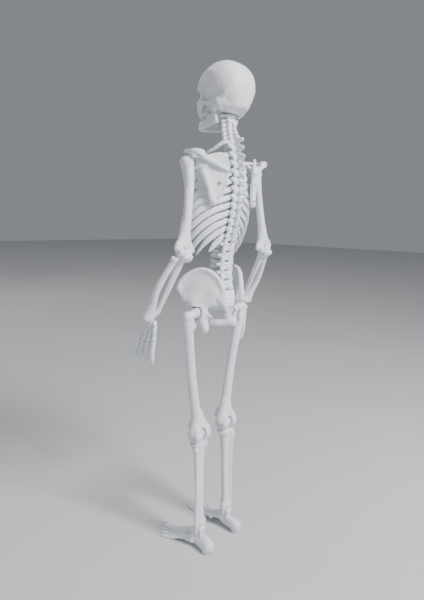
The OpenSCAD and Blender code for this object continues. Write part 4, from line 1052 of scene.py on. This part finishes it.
def wrist_bones():
    f = field_around([in_hand(a, s, o) for a in (-3, 11) for s in (-8, 9.6) for o in (-3.4, 3.4)], 1, 0.3)
    f.add(ball(WRIST, 2.4), 0.3)
    f.add(bar(WRIST, in_hand(4.4, 0, 0), 1.6, 2.6), 0.8)
    pebbles = [(3.9, -3.2, 2.3), (4, 0, 2.4), (4.2, 3.4, 2.4), (7.1, -4.2, 2.2), (7.2, -0.8, 2.3),
               (7.1, 2.8, 2.4), (6.6, 6, 2.4)]
    for along, side, r in pebbles:
        f.add(egg(in_hand(along, side, 0.15 * side), (r, r * 1.02, r)), 0.5)
    f.add(ball(in_hand(5, -5.2, 1.3), 1.2), 0.8)
    return f.surface()


def palm_bones():
    f = field_around(HAND_CORNERS, 1, 0.36)
    for k in range(4):
        knuckle = in_hand(KNUCKLE_ALONG[k], KNUCKLE_SIDE[k], 0.6)
        f.add(small_bone(in_hand(8.2, FINGER_ROOT[k] * 1.3, 0), knuckle, 2.1, 1.85, 2.3), 0.6)
    f.add(small_bone(THUMB[0], THUMB[1], 1.9, 1.5, 1.9), 0.4)
    return f.surface()


def finger_bones():
    f = field_around(HAND_CORNERS, 1, 0.36)
    for k in range(4):
        whole = sum(FINGER_BONES[k])
        ends = np.concatenate([[0], np.cumsum(FINGER_BONES[k])])
        # Places along the finger: each joint with a slight waist after it
        along = [ends[0] + 1.4, ends[0] + 4.4, ends[1], ends[1] + 3, ends[2], ends[2] + 2.2, whole - 1.5]
        route = []
        for t in along:
            bow = 0.6 + 1.6 * math.sin(2.2 * t / whole) - 1.6 * (t / whole) ** 2
            route.append(in_hand(KNUCKLE_ALONG[k] + GAP + t, KNUCKLE_SIDE[k] * (1 + FINGER_FAN * t), bow))
        f.add(chain(route, FINGER_RADII), 0.5)
    _, root, joint, tip = THUMB
    thumb = [mix(root, joint, 0.25), mix(root, joint, 0.6), joint, mix(joint, tip, 0.5), tip]
    f.add(chain(thumb, [2, 1.6, 1.95, 1.5, 1.5]), 0.5)
    return f.surface()


# ---- Pelvis ----

WING_DIR = unit((-0.525, 0.851, 0))
WING_NORMAL = vec(WING_DIR[1], -WING_DIR[0], 0)
SACRUM_HALF = 12.4
SYMPHYSIS_HALF = 1.2


def on_wing(s, z, n=0):
    """Place s along the wing of the hip bone backwards, at height z and n off it, outwards."""
    return vec(HIP[0], HIP[1], 0) + WING_DIR * s + WING_NORMAL * n + vec(0, 0, z)


def hip_bone():
    f = Field((-0.5, -17, 216.5), (39, 34, 281), 0.48)
    outline = [(-17.4, 258.4), (-16.4, 264), (-11, 270.4), (-3, 275.4), (5, 277.4), (13, 275.6), (20, 269.6),
               (24.6, 261), (26.6, 252.4), (25, 245.6), (20, 244.2), (15, 244.6), (11.6, 243), (10, 239),
               (8, 234), (-6, 234), (-9.4, 241), (-12, 248), (-15.4, 252.4)]

    def bowl(s, z):
        middle = 1.9 * np.exp(-((s - 3) / 11) ** 2 - ((z - 261) / 9) ** 2)
        return middle - 0.9 * np.sin((s + 17) / 44 * 2 * math.pi) * np.clip((z - 258) / 18, 0, 1)

    f.add(plate(on_wing(0, 0), WING_DIR, (0, 0, 1), outline, 1.2, 0.4, 7, bowl), 0.8)
    edge = [(-16.4, 259), (-15.4, 263.4), (-10.4, 269.4), (-3, 274.2), (5, 276.2), (12.6, 274.4),
            (19.2, 268.8), (23.6, 260.6), (25.4, 252.6)]
    crest = [on_wing(s, z, bowl(s, z)) for s, z in edge]
    f.add(chain(smooth_path(crest, 22), 0.9), 4)
    f.add([ball(on_wing(-16, 258), 1.4), ball(on_wing(-10.4, 250), 1.6)], 4)
    f.add(egg(on_wing(-0.6, 247), (9.4, 4, 9.6), (WING_DIR, WING_NORMAL, (0, 0, 1))), 5)
    # Socket, with its rim
    f.add(bar(on_wing(-4, 250), HIP + vec(-2, 0, 2), 2.4, 6), 4)
    f.add(bar(on_wing(9, 248), HIP + vec(-3, 2, 2), 2.4, 5), 4)
    f.add(ball(HIP, HIP_BALL + 2.7), 2.5)
    # Seat bone with its spike, and the two rami round the opening
    f.add(bar(HIP + vec(-3, 3, -4), (21.2, 12.6, 221.6), 4.8, 2.7), 2)
    f.add(bar((18.2, 8, 235), (17.6, 8.2, 225.6), 4.6, 3.8), 2)
    f.add(egg((21, 12.8, 222), (2.9, 3.3, 4.2)), 1.8)
    f.add(bar((21.6, 12.6, 236.6), (18.8, 18.6, 233.4), 2.2, 0.75), 1.6)
    upper = [HIP + vec(-5, -3, 0.5), (15, -2.6, 236.8), (9.4, -7.2, 234.8), (4.8, -9.6, 230.6)]
    lower = [(18.6, 10.4, 222.4), (14.2, 5, 221.2), (9.4, -1.4, 221.2), (5, -7.8, 222.6)]
    f.add(chain(smooth_path(upper, 9), np.linspace(3.9, 3.4, 9)), 2.4)
    f.add(chain(smooth_path(lower, 9), np.linspace(3.7, 3.3, 9)), 2.4)
    f.add(bar((4, -9.4, 230), (4, -8.8, 223.4), 3.1, 3, WING_NORMAL, 0.9), 1.2)
    f.add(bar((7, -8, 230), (7, -6.8, 224), 3, 3), 2)
    f.add(ball((8, -10.4, 235), 1.3), 1.6)
    f.add(egg(on_wing(15.4, 250.5, 0.4), (6, 3, 8), (WING_DIR, WING_NORMAL, (0, 0, 1))), 4)
    # Joint with the sacrum
    f.add(bar(on_wing(22, 250), (13.4, 22.8, 250), 3.9, 4.3), 2)
    f.add([ball(on_wing(25.4, 252.6, 0.4), 1.5), ball(on_wing(24.4, 247, 0.3), 1.4)], 4)
    x, y, z = HIP
    f.cut(ball(HIP, HIP_BALL + GAP + 0.05), 0.5)
    f.cut(block((x + 1, y - 60, 150), (x + 60, y + 60, z + 5.8)), 1.2)
    f.cut(block((x + 6.6, y - 60, 150), (x + 60, y + 60, z + 9)), 1.2)
    f.cut(swivel_bore(HIP), 0.2)
    f.cut(block((-30, -60, 180), (SYMPHYSIS_HALF, 60, 300)), 0.4)
    f.cut(block((-30, 12, 230), (SACRUM_HALF + 0.1, 23, 270)), 0.4)
    return f.surface()


def symphysis():
    f = Field((-3, -14, 219), (3, -4, 234), 0.3)
    f.add(bar((0, -9.4, 230), (0, -8.8, 223.6), 2.5, 2.4), 0.5)
    f.both(block((SYMPHYSIS_HALF, -20, 200), (9, 0, 240)), 0.3, cut=True)
    return f.surface()


# ---- Leg ----

TAB_HALF = 2.4
EYE_R = 4.4


def thigh_bone():
    f = Field((5.4, -6, 108), (47, 18.5, 245), 0.48)
    top, foot = vec(39.5, 8, 233.5), vec(20.4, 5.6, 127)
    f.add(ball(HIP, HIP_BALL), 0.4)
    f.add(bar(HIP + vec(2, 0.2, 0), top, 3.3, 3.9), 1.5)
    f.add(egg(top + vec(0.6, 0.6, 1.4), (3.8, 4.3, 5)), 1.5)
    f.add(bar(top + vec(-1, 3, 3.4), (34, 10.4, 226.4), 1.6, 1.8), 2)
    f.add(egg((33.8, 9.8, 225), (2.2, 2.2, 3)), 3)
    route = smooth_path([top + vec(0, 0, 1), (36.2, 6.6, 216), (30.6, 4.8, 185), (24.9, 4.4, 152), foot], 15)
    share = np.linspace(0, 1, 15)
    r = np.interp(share, [0, 0.06, 0.16, 0.3, 0.6, 0.84, 0.94, 1], [4.2, 4.8, 4.8, 4.6, 4.4, 5, 5.7, 6])
    f.add(chain(route, r), 0.8)
    # Rough line down the back
    f.add(chain(route[3:12] + vec(0.2, 0, 0) + np.outer(r[3:12], (0, 0.82, 0)), 0.75), 1.4)
    # Flare and the two condyles
    for side, bulge in ((1, 7.2), (-1, 8.2)):
        f.add(bar((20.8, 5.6, 138), KNEE + vec(6.4 * side, -0.6, 2.6), 4.4, 5.6), 2)
        f.add(ball(KNEE + vec(bulge * side, 0.3, 2.2), 4), 3)
        f.add(ball(KNEE + vec(5.8 * side, 2.2, 5.4), 4), 2)
    condyle = [(0, 5.4), (0.03, 6.3), (0.1, 7.2), (0.25, KNEE_R), (0.4, 7.2)]
    rollers = condyle + [(0.5, 6.5)] + [(1 - t, r) for t, r in condyle[::-1]]
    f.add(lathe(KNEE - vec(10.6, 0, 0), KNEE + vec(10.6, 0, 0), rollers), 1)
    x, y, z = KNEE
    half = TAB_HALF + GAP
    f.cut(disc(KNEE, (1, 0, 0), half, EYE_R + 0.5), 0.3)
    f.cut(block((x - half, y - EYE_R - 0.5, z - 20), (x + half, y + 40, z)), 0.4)
    f.cut(block((x - half, y, z - 1), (x + half, y + 40, z + 5.6)), 0.6)
    f.cut(swivel_slot(HIP, HIP_BALL), 0.3)
    return f.surface()


def kneecap():
    f = Field((13.5, -6, 117.5), (26, 3, 131), 0.32)
    f.add(egg((19.7, -2.3, 124.5), (5.2, 2.6, 5.3)), 0.5)
    f.add(ball((19.7, -1.7, 120.9), 1.5), 1.5)
    return f.surface()


TIBIA_TOP = KNEE + vec(0, -1.4, -KNEE_R - GAP)
MORTISE_R = TALUS_R + GAP


def shin_bone():
    f = Field((7, -5.5, 13.5), (31, 20, 124), 0.46)
    foot = vec(20, 10.2, ANKLE[2] + MORTISE_R + 2)
    x, y, z = TIBIA_TOP
    f.add(lathe((x, y, z + 1), foot, [
        (0, 7.6), (0.03, 7.9), (0.06, 7.5), (0.12, 6.2), (0.2, 5.2), (0.32, 4.5), (0.6, 4), (0.85, 3.9),
        (0.94, 4.3), (1, 4.7)], ((0, -1, 0), 3, 0.1)), 0.8)
    for side in (1, -1):
        f.add(egg((x + 4.2 * side, y + 0.6, z - 2.6), (4.9, 6.6, 3.2)), 1.5)
    f.add(bar((20.4, 2, 105.6), (20.2, 4.2, 96.5), 2.5, 1.5), 2)
    f.add(egg((foot[0], foot[1] + 0.2, foot[2] - 1), (4.9, 5, 5)), 3)
    f.cut(block((0, -20, z), (40, 40, 130)), 0.6)
    # Tab that enters the knee
    f.add(block(vec(*KNEE[:2], z - 3) - (TAB_HALF, 2.6, 0), KNEE + (TAB_HALF, 2.6, 0)), 0.3)
    f.add(disc(KNEE, (1, 0, 0), TAB_HALF, EYE_R), 0.3)
    # Ankle knob on the inner side
    inner = ANKLE[0] - TALUS_HALF - GAP
    knob = [(inner - 1, 10.8, 27), (inner - 1.3, 11, 21), (inner - 1.3, 11, 18)]
    f.add(chain(knob, [3.2, 2.9, 2.2], (1, 0, 0), 0.55), 1.2)
    f.cut(block((inner, 0, 10), (40, 25, ANKLE[2])), 0.2)
    f.cut(disc(ANKLE, (1, 0, 0), TALUS_HALF + GAP, MORTISE_R), 0.4)
    return f.surface()


def calf_bone():
    f = Field((22.5, 6, 13), (33.5, 18, 110), 0.34)
    outer = ANKLE[0] + TALUS_HALF + GAP
    route = smooth_path([(27, 11, 104.6), (26.1, 11, 84), (25.8, 11.4, 55), (outer + 1.4, 11.6, 25)], 12)
    r = np.interp(np.linspace(0, 1, 12), [0, 0.06, 0.16, 0.5, 0.9, 1], [2.3, 2.3, 1.8, 1.65, 1.8, 1.9])
    f.add(chain(route, r), 0.6)
    f.add(ball((27.2, 11.2, 103.8), 2.7), 1)
    knob = [(outer + 1.5, 11.3, 25), (outer + 1.5, 11.2, 19), (outer + 1.3, 11.2, 17)]
    f.add(chain(knob, [2.4, 2.9, 2.1], (1, 0, 0), 0.55), 1)
    f.cut(block((0, 0, 10), (outer, 25, ANKLE[2] + MORTISE_R - 1)), 0.2)
    return f.surface()


# ---- Foot ----

# For each toe: x of the instep bone's root, x and y of the ball, radius, and the two lengths beyond it
TOES = [(16.8, 18.2, -22.8, 2.5, 9.6, 7.6), (19, 21.7, -23.6, 2, 8.4, 5.4), (21.4, 25.2, -22, 1.9, 7.6, 4.8),
        (23.8, 28.4, -19.6, 1.85, 6.8, 4.4), (26, 31.3, -16.4, 1.85, 6, 4)]
INSTEP_Y = -3.4
SOLE = 0.2
GROUND = ((0, -60, -10), (50, 60, 0))


def ankle_bones():
    f = Field((10.5, -8.5, -1), (31.5, 34, 26.5), 0.36)
    x, y, z = ANKLE
    f.add(disc(ANKLE, (1, 0, 0), TALUS_HALF - 0.2, TALUS_R - 0.1), 0.5)
    f.add(block((x - 3.6, y - 3.4, 9.5), (x + 3.6, y + 4.2, z - 1)), 1)
    f.add(bar((20, 8, 14.4), (18.6, 1.6, 11.8), 4, 4.3), 1.4)
    # Heel bone
    f.add(lathe((21.2, 4, 8.8), (22.4, 28, 5.4), [
        (0, 2.6), (0.1, 4.2), (0.3, 4.8), (0.6, 5), (0.78, 5.6), (0.9, 5.4), (0.97, 4.2), (1, 2.6)],
        ((0, 0, 1), 2, 0.08)), 1)
    f.add(bar((20.2, 23.6, 2.4), (24.4, 23, 2.4), 2.8), 2.4)
    f.add(bar((22, 25.4, 5), (21.4, 23.4, 9.6), 3.4, 2.8), 2.4)
    f.add(bar((20.6, 18.6, 11), (21.2, 25, 7.6), 4, 4.4), 2.5)
    f.add(bar((17.8, 9, 10.6), (16.9, 4, 11), 2.2, 1.8), 1.2)
    # Instep bones in front of it
    f.add(egg((17.6, -0.6, 11), (4.4, 2.2, 3.7)), 0.7)
    for cx, cy, cz, r in ((14.8, -4, 8.6, 3.1), (18, -4.2, 8.8, 2.8), (21.2, -3.8, 8, 2.8)):
        f.add(egg((cx, cy, cz), (r * 0.8, 2.3, r)), 0.5)
    f.add(egg((24.6, -1, 6), (3.6, 4.6, 3.4)), 0.8)
    f.add(egg((24, 5, 6.6), (3.6, 4, 4)), 1.4)
    f.cut(block(*GROUND), 0.2)
    return f.surface()


def toe_bones():
    f = Field((8.5, -42.5, -1), (39.5, -1, 12.5), 0.36)
    for i, (root_x, ball_x, ball_y, r, first, second) in enumerate(TOES):
        instep = vec(root_x, INSTEP_Y - 1.4, 8.4 - 0.6 * i)
        head = vec(ball_x, ball_y, r - SOLE)
        along = unit(vec(ball_x - root_x, ball_y - INSTEP_Y, 0))
        f.add(small_bone(instep, head + unit(head - instep) * r * 0.6, 2.7, r * 0.95, r), 0.8)
        stops = np.array([0.4 * r, 0.5 * first, r + first, r + first + 0.5 * second, first + second])
        radii = r * np.array([1.02, 0.8, 0.94, 0.76, 0.8])
        route = vec(ball_x, ball_y, -SOLE) + np.outer(stops, along) + np.outer(radii, (0, 0, 0.9))
        f.add(chain(route, radii), 0.6)
    f.cut(block(*GROUND), 0.2)
    return f.surface()


# ---- Meshes and pieces ----

def make_mesh(name, points, quads, triangles=()):
    """Smooth-shaded mesh in metres from points in millimetres."""
    quads = np.asarray(quads, np.int32).reshape(-1, 4)
    triangles = np.asarray(triangles, np.int32).reshape(-1, 3)
    sizes = np.concatenate([np.full(len(quads), 4), np.full(len(triangles), 3)])
    mesh = bpy.data.meshes.new(name)
    mesh.vertices.add(len(points))
    mesh.vertices.foreach_set("co", (np.asarray(points) * MM).astype(np.float32).ravel())
    corners = np.concatenate([quads.ravel(), triangles.ravel()])
    mesh.loops.add(len(corners))
    mesh.loops.foreach_set("vertex_index", corners)
    mesh.polygons.add(len(sizes))
    mesh.polygons.foreach_set("loop_start", np.concatenate([[0], np.cumsum(sizes)[:-1]]))
    mesh.polygons.foreach_set("use_smooth", np.ones(len(sizes), bool))
    mesh.update(calc_edges=True)
    mesh.validate()
    return mesh


def joined(parts):
    """One set of points and faces out of several swept bands."""
    points, quads, triangles, first = [], [], [], 0
    for p, q, t in parts:
        points.append(p)
        quads.append(np.asarray(q) + first)
        triangles.append(np.asarray(t) + first)
        first += len(p)
    return np.vstack(points), np.vstack(quads), np.vstack(triangles)


def flipped(part):
    """The same shape on the figure's other side."""
    points, *faces = part
    return (np.asarray(points) * vec(-1, 1, 1), *[np.asarray(face)[:, ::-1] for face in faces])


def place(node, part, material):
    """Makes the detailed bone that stands for a CAD node and rides on the node's body."""
    mesh = make_mesh(node + "_bone", *part)
    mesh.materials.append(material)
    piece = bpy.data.objects.new(node + "_bone", mesh)
    bpy.context.scene.collection.objects.link(piece)
    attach(piece, BODY_OF[node])
    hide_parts(node)


# ---- Materials ----

class Nodes:
    """Short way to build a material's nodes."""

    def __init__(self, name):
        self.material = bpy.data.materials.new(name)
        self.material.use_nodes = True
        self.tree = self.material.node_tree
        self.shader = self.tree.nodes["Principled BSDF"]

    def make(self, kind, inputs=(), **settings):
        node = self.tree.nodes.new(kind)
        for key, value in settings.items():
            setattr(node, key, value)
        for key, value in dict(inputs).items():
            if isinstance(value, bpy.types.NodeSocket):
                self.tree.links.new(value, node.inputs[key])
            else:
                node.inputs[key].default_value = value
        return node

    def noise(self, scale, detail=3.0, stretch=(1, 1, 1)):
        """Noise in the space of the object, scale in features per metre."""
        place = self.make("ShaderNodeTexCoord").outputs["Object"]
        place = self.make("ShaderNodeMapping", {"Vector": place, "Scale": stretch}).outputs["Vector"]
        noise = self.make("ShaderNodeTexNoise", {"Vector": place, "Scale": scale, "Detail": detail})
        return noise.outputs["Fac"]

    def ramp(self, factor, stops):
        node = self.make("ShaderNodeValToRGB", {"Fac": factor})
        points = node.color_ramp.elements
        for index, (place, colour) in enumerate(stops):
            point = points[index] if index < 2 else points.new(place)
            point.position, point.color = place, (*colour, 1)
        return node.outputs["Color"]

    def blend(self, factor, a, b, mode="MIX"):
        node = self.make("ShaderNodeMix", data_type="RGBA", blend_type=mode)
        for socket, value in ((node.inputs[0], factor), (node.inputs[6], a), (node.inputs[7], b)):
            if isinstance(value, bpy.types.NodeSocket):
                self.tree.links.new(value, socket)
            else:
                socket.default_value = value if isinstance(value, (int, float)) else (*value, 1)
        return node.outputs[2]

    def bump(self, height, depth, strength=1.0, below=None):
        inputs = {"Height": height, "Distance": depth, "Strength": strength}
        if below is not None:
            inputs["Normal"] = below
        return self.make("ShaderNodeBump", inputs).outputs["Normal"]

    def finish(self, colour, roughness, normal):
        for key, value in (("Base Color", colour), ("Roughness", roughness), ("Normal", normal)):
            if isinstance(value, bpy.types.NodeSocket):
                self.tree.links.new(value, self.shader.inputs[key])
            elif value is not None:
                self.shader.inputs[key].default_value = value
        return self.material


def moulded_plastic(name, light, dark, sheen_roughness, grain, lines=0.0):
    """Cast off-white plastic: cloudy colour, painted shade darkening the hollows, a fine grain and, on the skull,
    lines.
    """
    n = Nodes(name)
    cloud = n.ramp(n.noise(45, 4), [(0.35, dark), (0.66, light)])
    # Painted shade: the colour is darkened where pointiness is low, in hollows and creases.
    painted_shade_mask = n.make("ShaderNodeNewGeometry").outputs["Pointiness"]
    hollow = n.ramp(painted_shade_mask, [(0.43, (0.72, 0.74, 0.78)), (0.5, (1, 1, 1))])
    colour = n.blend(0.8, cloud, hollow, "MULTIPLY")
    rough = n.make("ShaderNodeMapRange", {"Value": n.noise(260, 3), "To Min": sheen_roughness - 0.07,
                                          "To Max": sheen_roughness + 0.09}).outputs["Result"]
    waves = n.bump(n.noise(150, 3, (1, 1, 0.5)), 0.0005, 0.5)
    if lines:
        waves = n.bump(n.noise(420, 2, (1, 1, 0.1)), 0.0005, lines, waves)
    fine = n.bump(n.noise(1500, 3), 0.00012, grain, waves)
    n.shader.inputs["Specular IOR Level"].default_value = 0.42
    n.shader.inputs["Subsurface Weight"].default_value = 0.06
    n.shader.inputs["Subsurface Radius"].default_value = (0.9, 0.8, 0.75)
    n.shader.inputs["Subsurface Scale"].default_value = 0.002
    return n.finish(colour, rough, fine)


def coated_metal(name, light, dark, metallic, roughness):
    """Metal fitting under a thin pale coat, with turning marks."""
    n = Nodes(name)
    colour = n.ramp(n.noise(300, 3), [(0.4, dark), (0.62, light)])
    rough = n.make("ShaderNodeMapRange", {"Value": n.noise(900, 2, (1, 1, 6)), "To Min": roughness - 0.08,
                                          "To Max": roughness + 0.1}).outputs["Result"]
    marks = n.bump(n.noise(1400, 2, (1, 1, 8)), 0.00005, 0.5)
    n.shader.inputs["Metallic"].default_value = metallic
    return n.finish(colour, rough, marks)


def floor_material():
    n = Nodes("pale_floor")
    colour = n.ramp(n.noise(3, 3), [(0.3, (0.6, 0.605, 0.615)), (0.7, (0.64, 0.645, 0.655))])
    return n.finish(colour, 0.75, n.bump(n.noise(400, 3), 0.0004, 0.15))


BONE_LIGHT, BONE_DARK = (0.83, 0.85, 0.89), (0.77, 0.79, 0.835)
bone_plastic = moulded_plastic("bone_plastic", BONE_LIGHT, BONE_DARK, 0.44, 0.3)
skull_plastic = moulded_plastic("bone_skull_plastic", BONE_LIGHT, BONE_DARK, 0.42, 0.3, 0.3)
cartilage_plastic = moulded_plastic("cartilage_plastic", (0.80, 0.82, 0.86), (0.74, 0.765, 0.81), 0.4, 0.2)
white_metal = coated_metal("white_coated_metal", (0.80, 0.82, 0.855), (0.72, 0.745, 0.79), 0.0, 0.36)
bare_steel = coated_metal("bare_steel", (0.60, 0.61, 0.62), (0.5, 0.51, 0.52), 1.0, 0.32)
disc_rubber = moulded_plastic("cartilage_disc", (0.74, 0.755, 0.79), (0.66, 0.68, 0.72), 0.5, 0.3)

# ---- Every piece ----

CENTRE_BONES = {
    "cranium": skull, "mandible": jaw, "atlas": atlas, "axis": axis, "cervical_vertebrae": neck,
    "thoracic_vertebrae": chest_spine, "lumbar_vertebrae": loin_spine, "sacrum": sacrum,
    "coccyx": tail_bone, "sternum": breastbone,
}
LEFT_BONES = {
    "scapula": shoulder_blade, "humerus": upper_arm, "ulna": inner_forearm, "radius": outer_forearm,
    "carpal_bones": wrist_bones, "metacarpals": palm_bones, "finger_bones": finger_bones,
    "hip_bone": hip_bone, "femur": thigh_bone, "patella": kneecap, "tibia": shin_bone, "fibula": calf_bone,
    "tarsal_bones": ankle_bones, "foot_bones": toe_bones, "clavicle": collar_bone, "true_ribs": true_ribs,
    "false_ribs": false_ribs,
}

for node, make in CENTRE_BONES.items():
    place(node, make(), skull_plastic if make is skull else bone_plastic)
place("pubic_symphysis", symphysis(), cartilage_plastic)
left_parts = cartilages()
right_parts = [flipped(part) for part in left_parts]
place("costal_cartilages", joined(left_parts + right_parts), cartilage_plastic)
for bone, make in LEFT_BONES.items():
    part = make()
    place(bone + "_left", part, bone_plastic)
    place(bone + "_right", flipped(part), bone_plastic)

for node, cad_object in frame["nodes"].items():
    if cad_object.hide_render:
        continue
    finish = bare_steel if node == "spine_rod" else disc_rubber if node == "spinal_discs" else white_metal
    cad_object.data.materials.clear()
    cad_object.data.materials.append(finish)

# ---- Floor, light and camera ----

FLOOR_HALF = 6.0
bpy.ops.mesh.primitive_grid_add(x_subdivisions=8, y_subdivisions=8, size=2 * FLOOR_HALF)
floor = bpy.context.object
floor.name = "floor"
floor.data.materials.append(floor_material())

world = bpy.data.worlds.new("studio")
world.use_nodes = True
world.node_tree.nodes["Background"].inputs["Color"].default_value = (0.80, 0.83, 0.88, 1)
world.node_tree.nodes["Background"].inputs["Strength"].default_value = 0.3
bpy.context.scene.world = world


MIDDLE = Vector((0, 0.01, 0.26))


def towards(azimuth, elevation):
    """Direction from the figure; azimuth 0 is in front of it, 90 on its left."""
    a, e = math.radians(azimuth), math.radians(elevation)
    return Vector((math.sin(a) * math.cos(e), -math.cos(a) * math.cos(e), math.sin(e)))


def soft_light(name, azimuth, elevation, distance, size, power):
    """Square light, size across, that faces the middle of the figure."""
    back = towards(azimuth, elevation)
    data = bpy.data.lights.new(name, "AREA")
    data.size, data.energy = size, power
    light = bpy.data.objects.new(name, data)
    light.location = MIDDLE + back * distance
    light.rotation_euler = back.to_track_quat("Z", "Y").to_euler()
    bpy.context.scene.collection.objects.link(light)


soft_light("key", 184, 36, 1.1, 0.3, 20)
soft_light("fill", 70, 15, 1.4, 1.0, 1.6)
soft_light("front", 0, 30, 2.0, 1.2, 5)
soft_light("sky", 60, 80, 4.0, 4.0, 42)

VIEW_AZIMUTH, VIEW_ELEVATION, VIEW_ROLL = 130.7, 9.49, 1.46
CAMERA_AT = Vector((0.3306, 0.2866, 0.3178))
LENS, SENSOR = 27.81, 36


def view_matrix(azimuth, elevation, roll):
    r = math.radians(roll)
    back = towards(azimuth, elevation)
    right = Vector((0, 0, 1)).cross(back).normalized()
    up = back.cross(right)
    right, up = right * math.cos(r) + up * math.sin(r), up * math.cos(r) - right * math.sin(r)
    return Matrix((right, up, back)).transposed().to_4x4()


camera_data = bpy.data.cameras.new("camera")
camera_data.lens, camera_data.sensor_width = LENS, SENSOR
camera_data.clip_start = 0.01
camera = bpy.data.objects.new("camera", camera_data)
camera.matrix_world = Matrix.Translation(CAMERA_AT) @ view_matrix(VIEW_AZIMUTH, VIEW_ELEVATION, VIEW_ROLL)
bpy.context.scene.collection.objects.link(camera)
bpy.context.scene.camera = camera
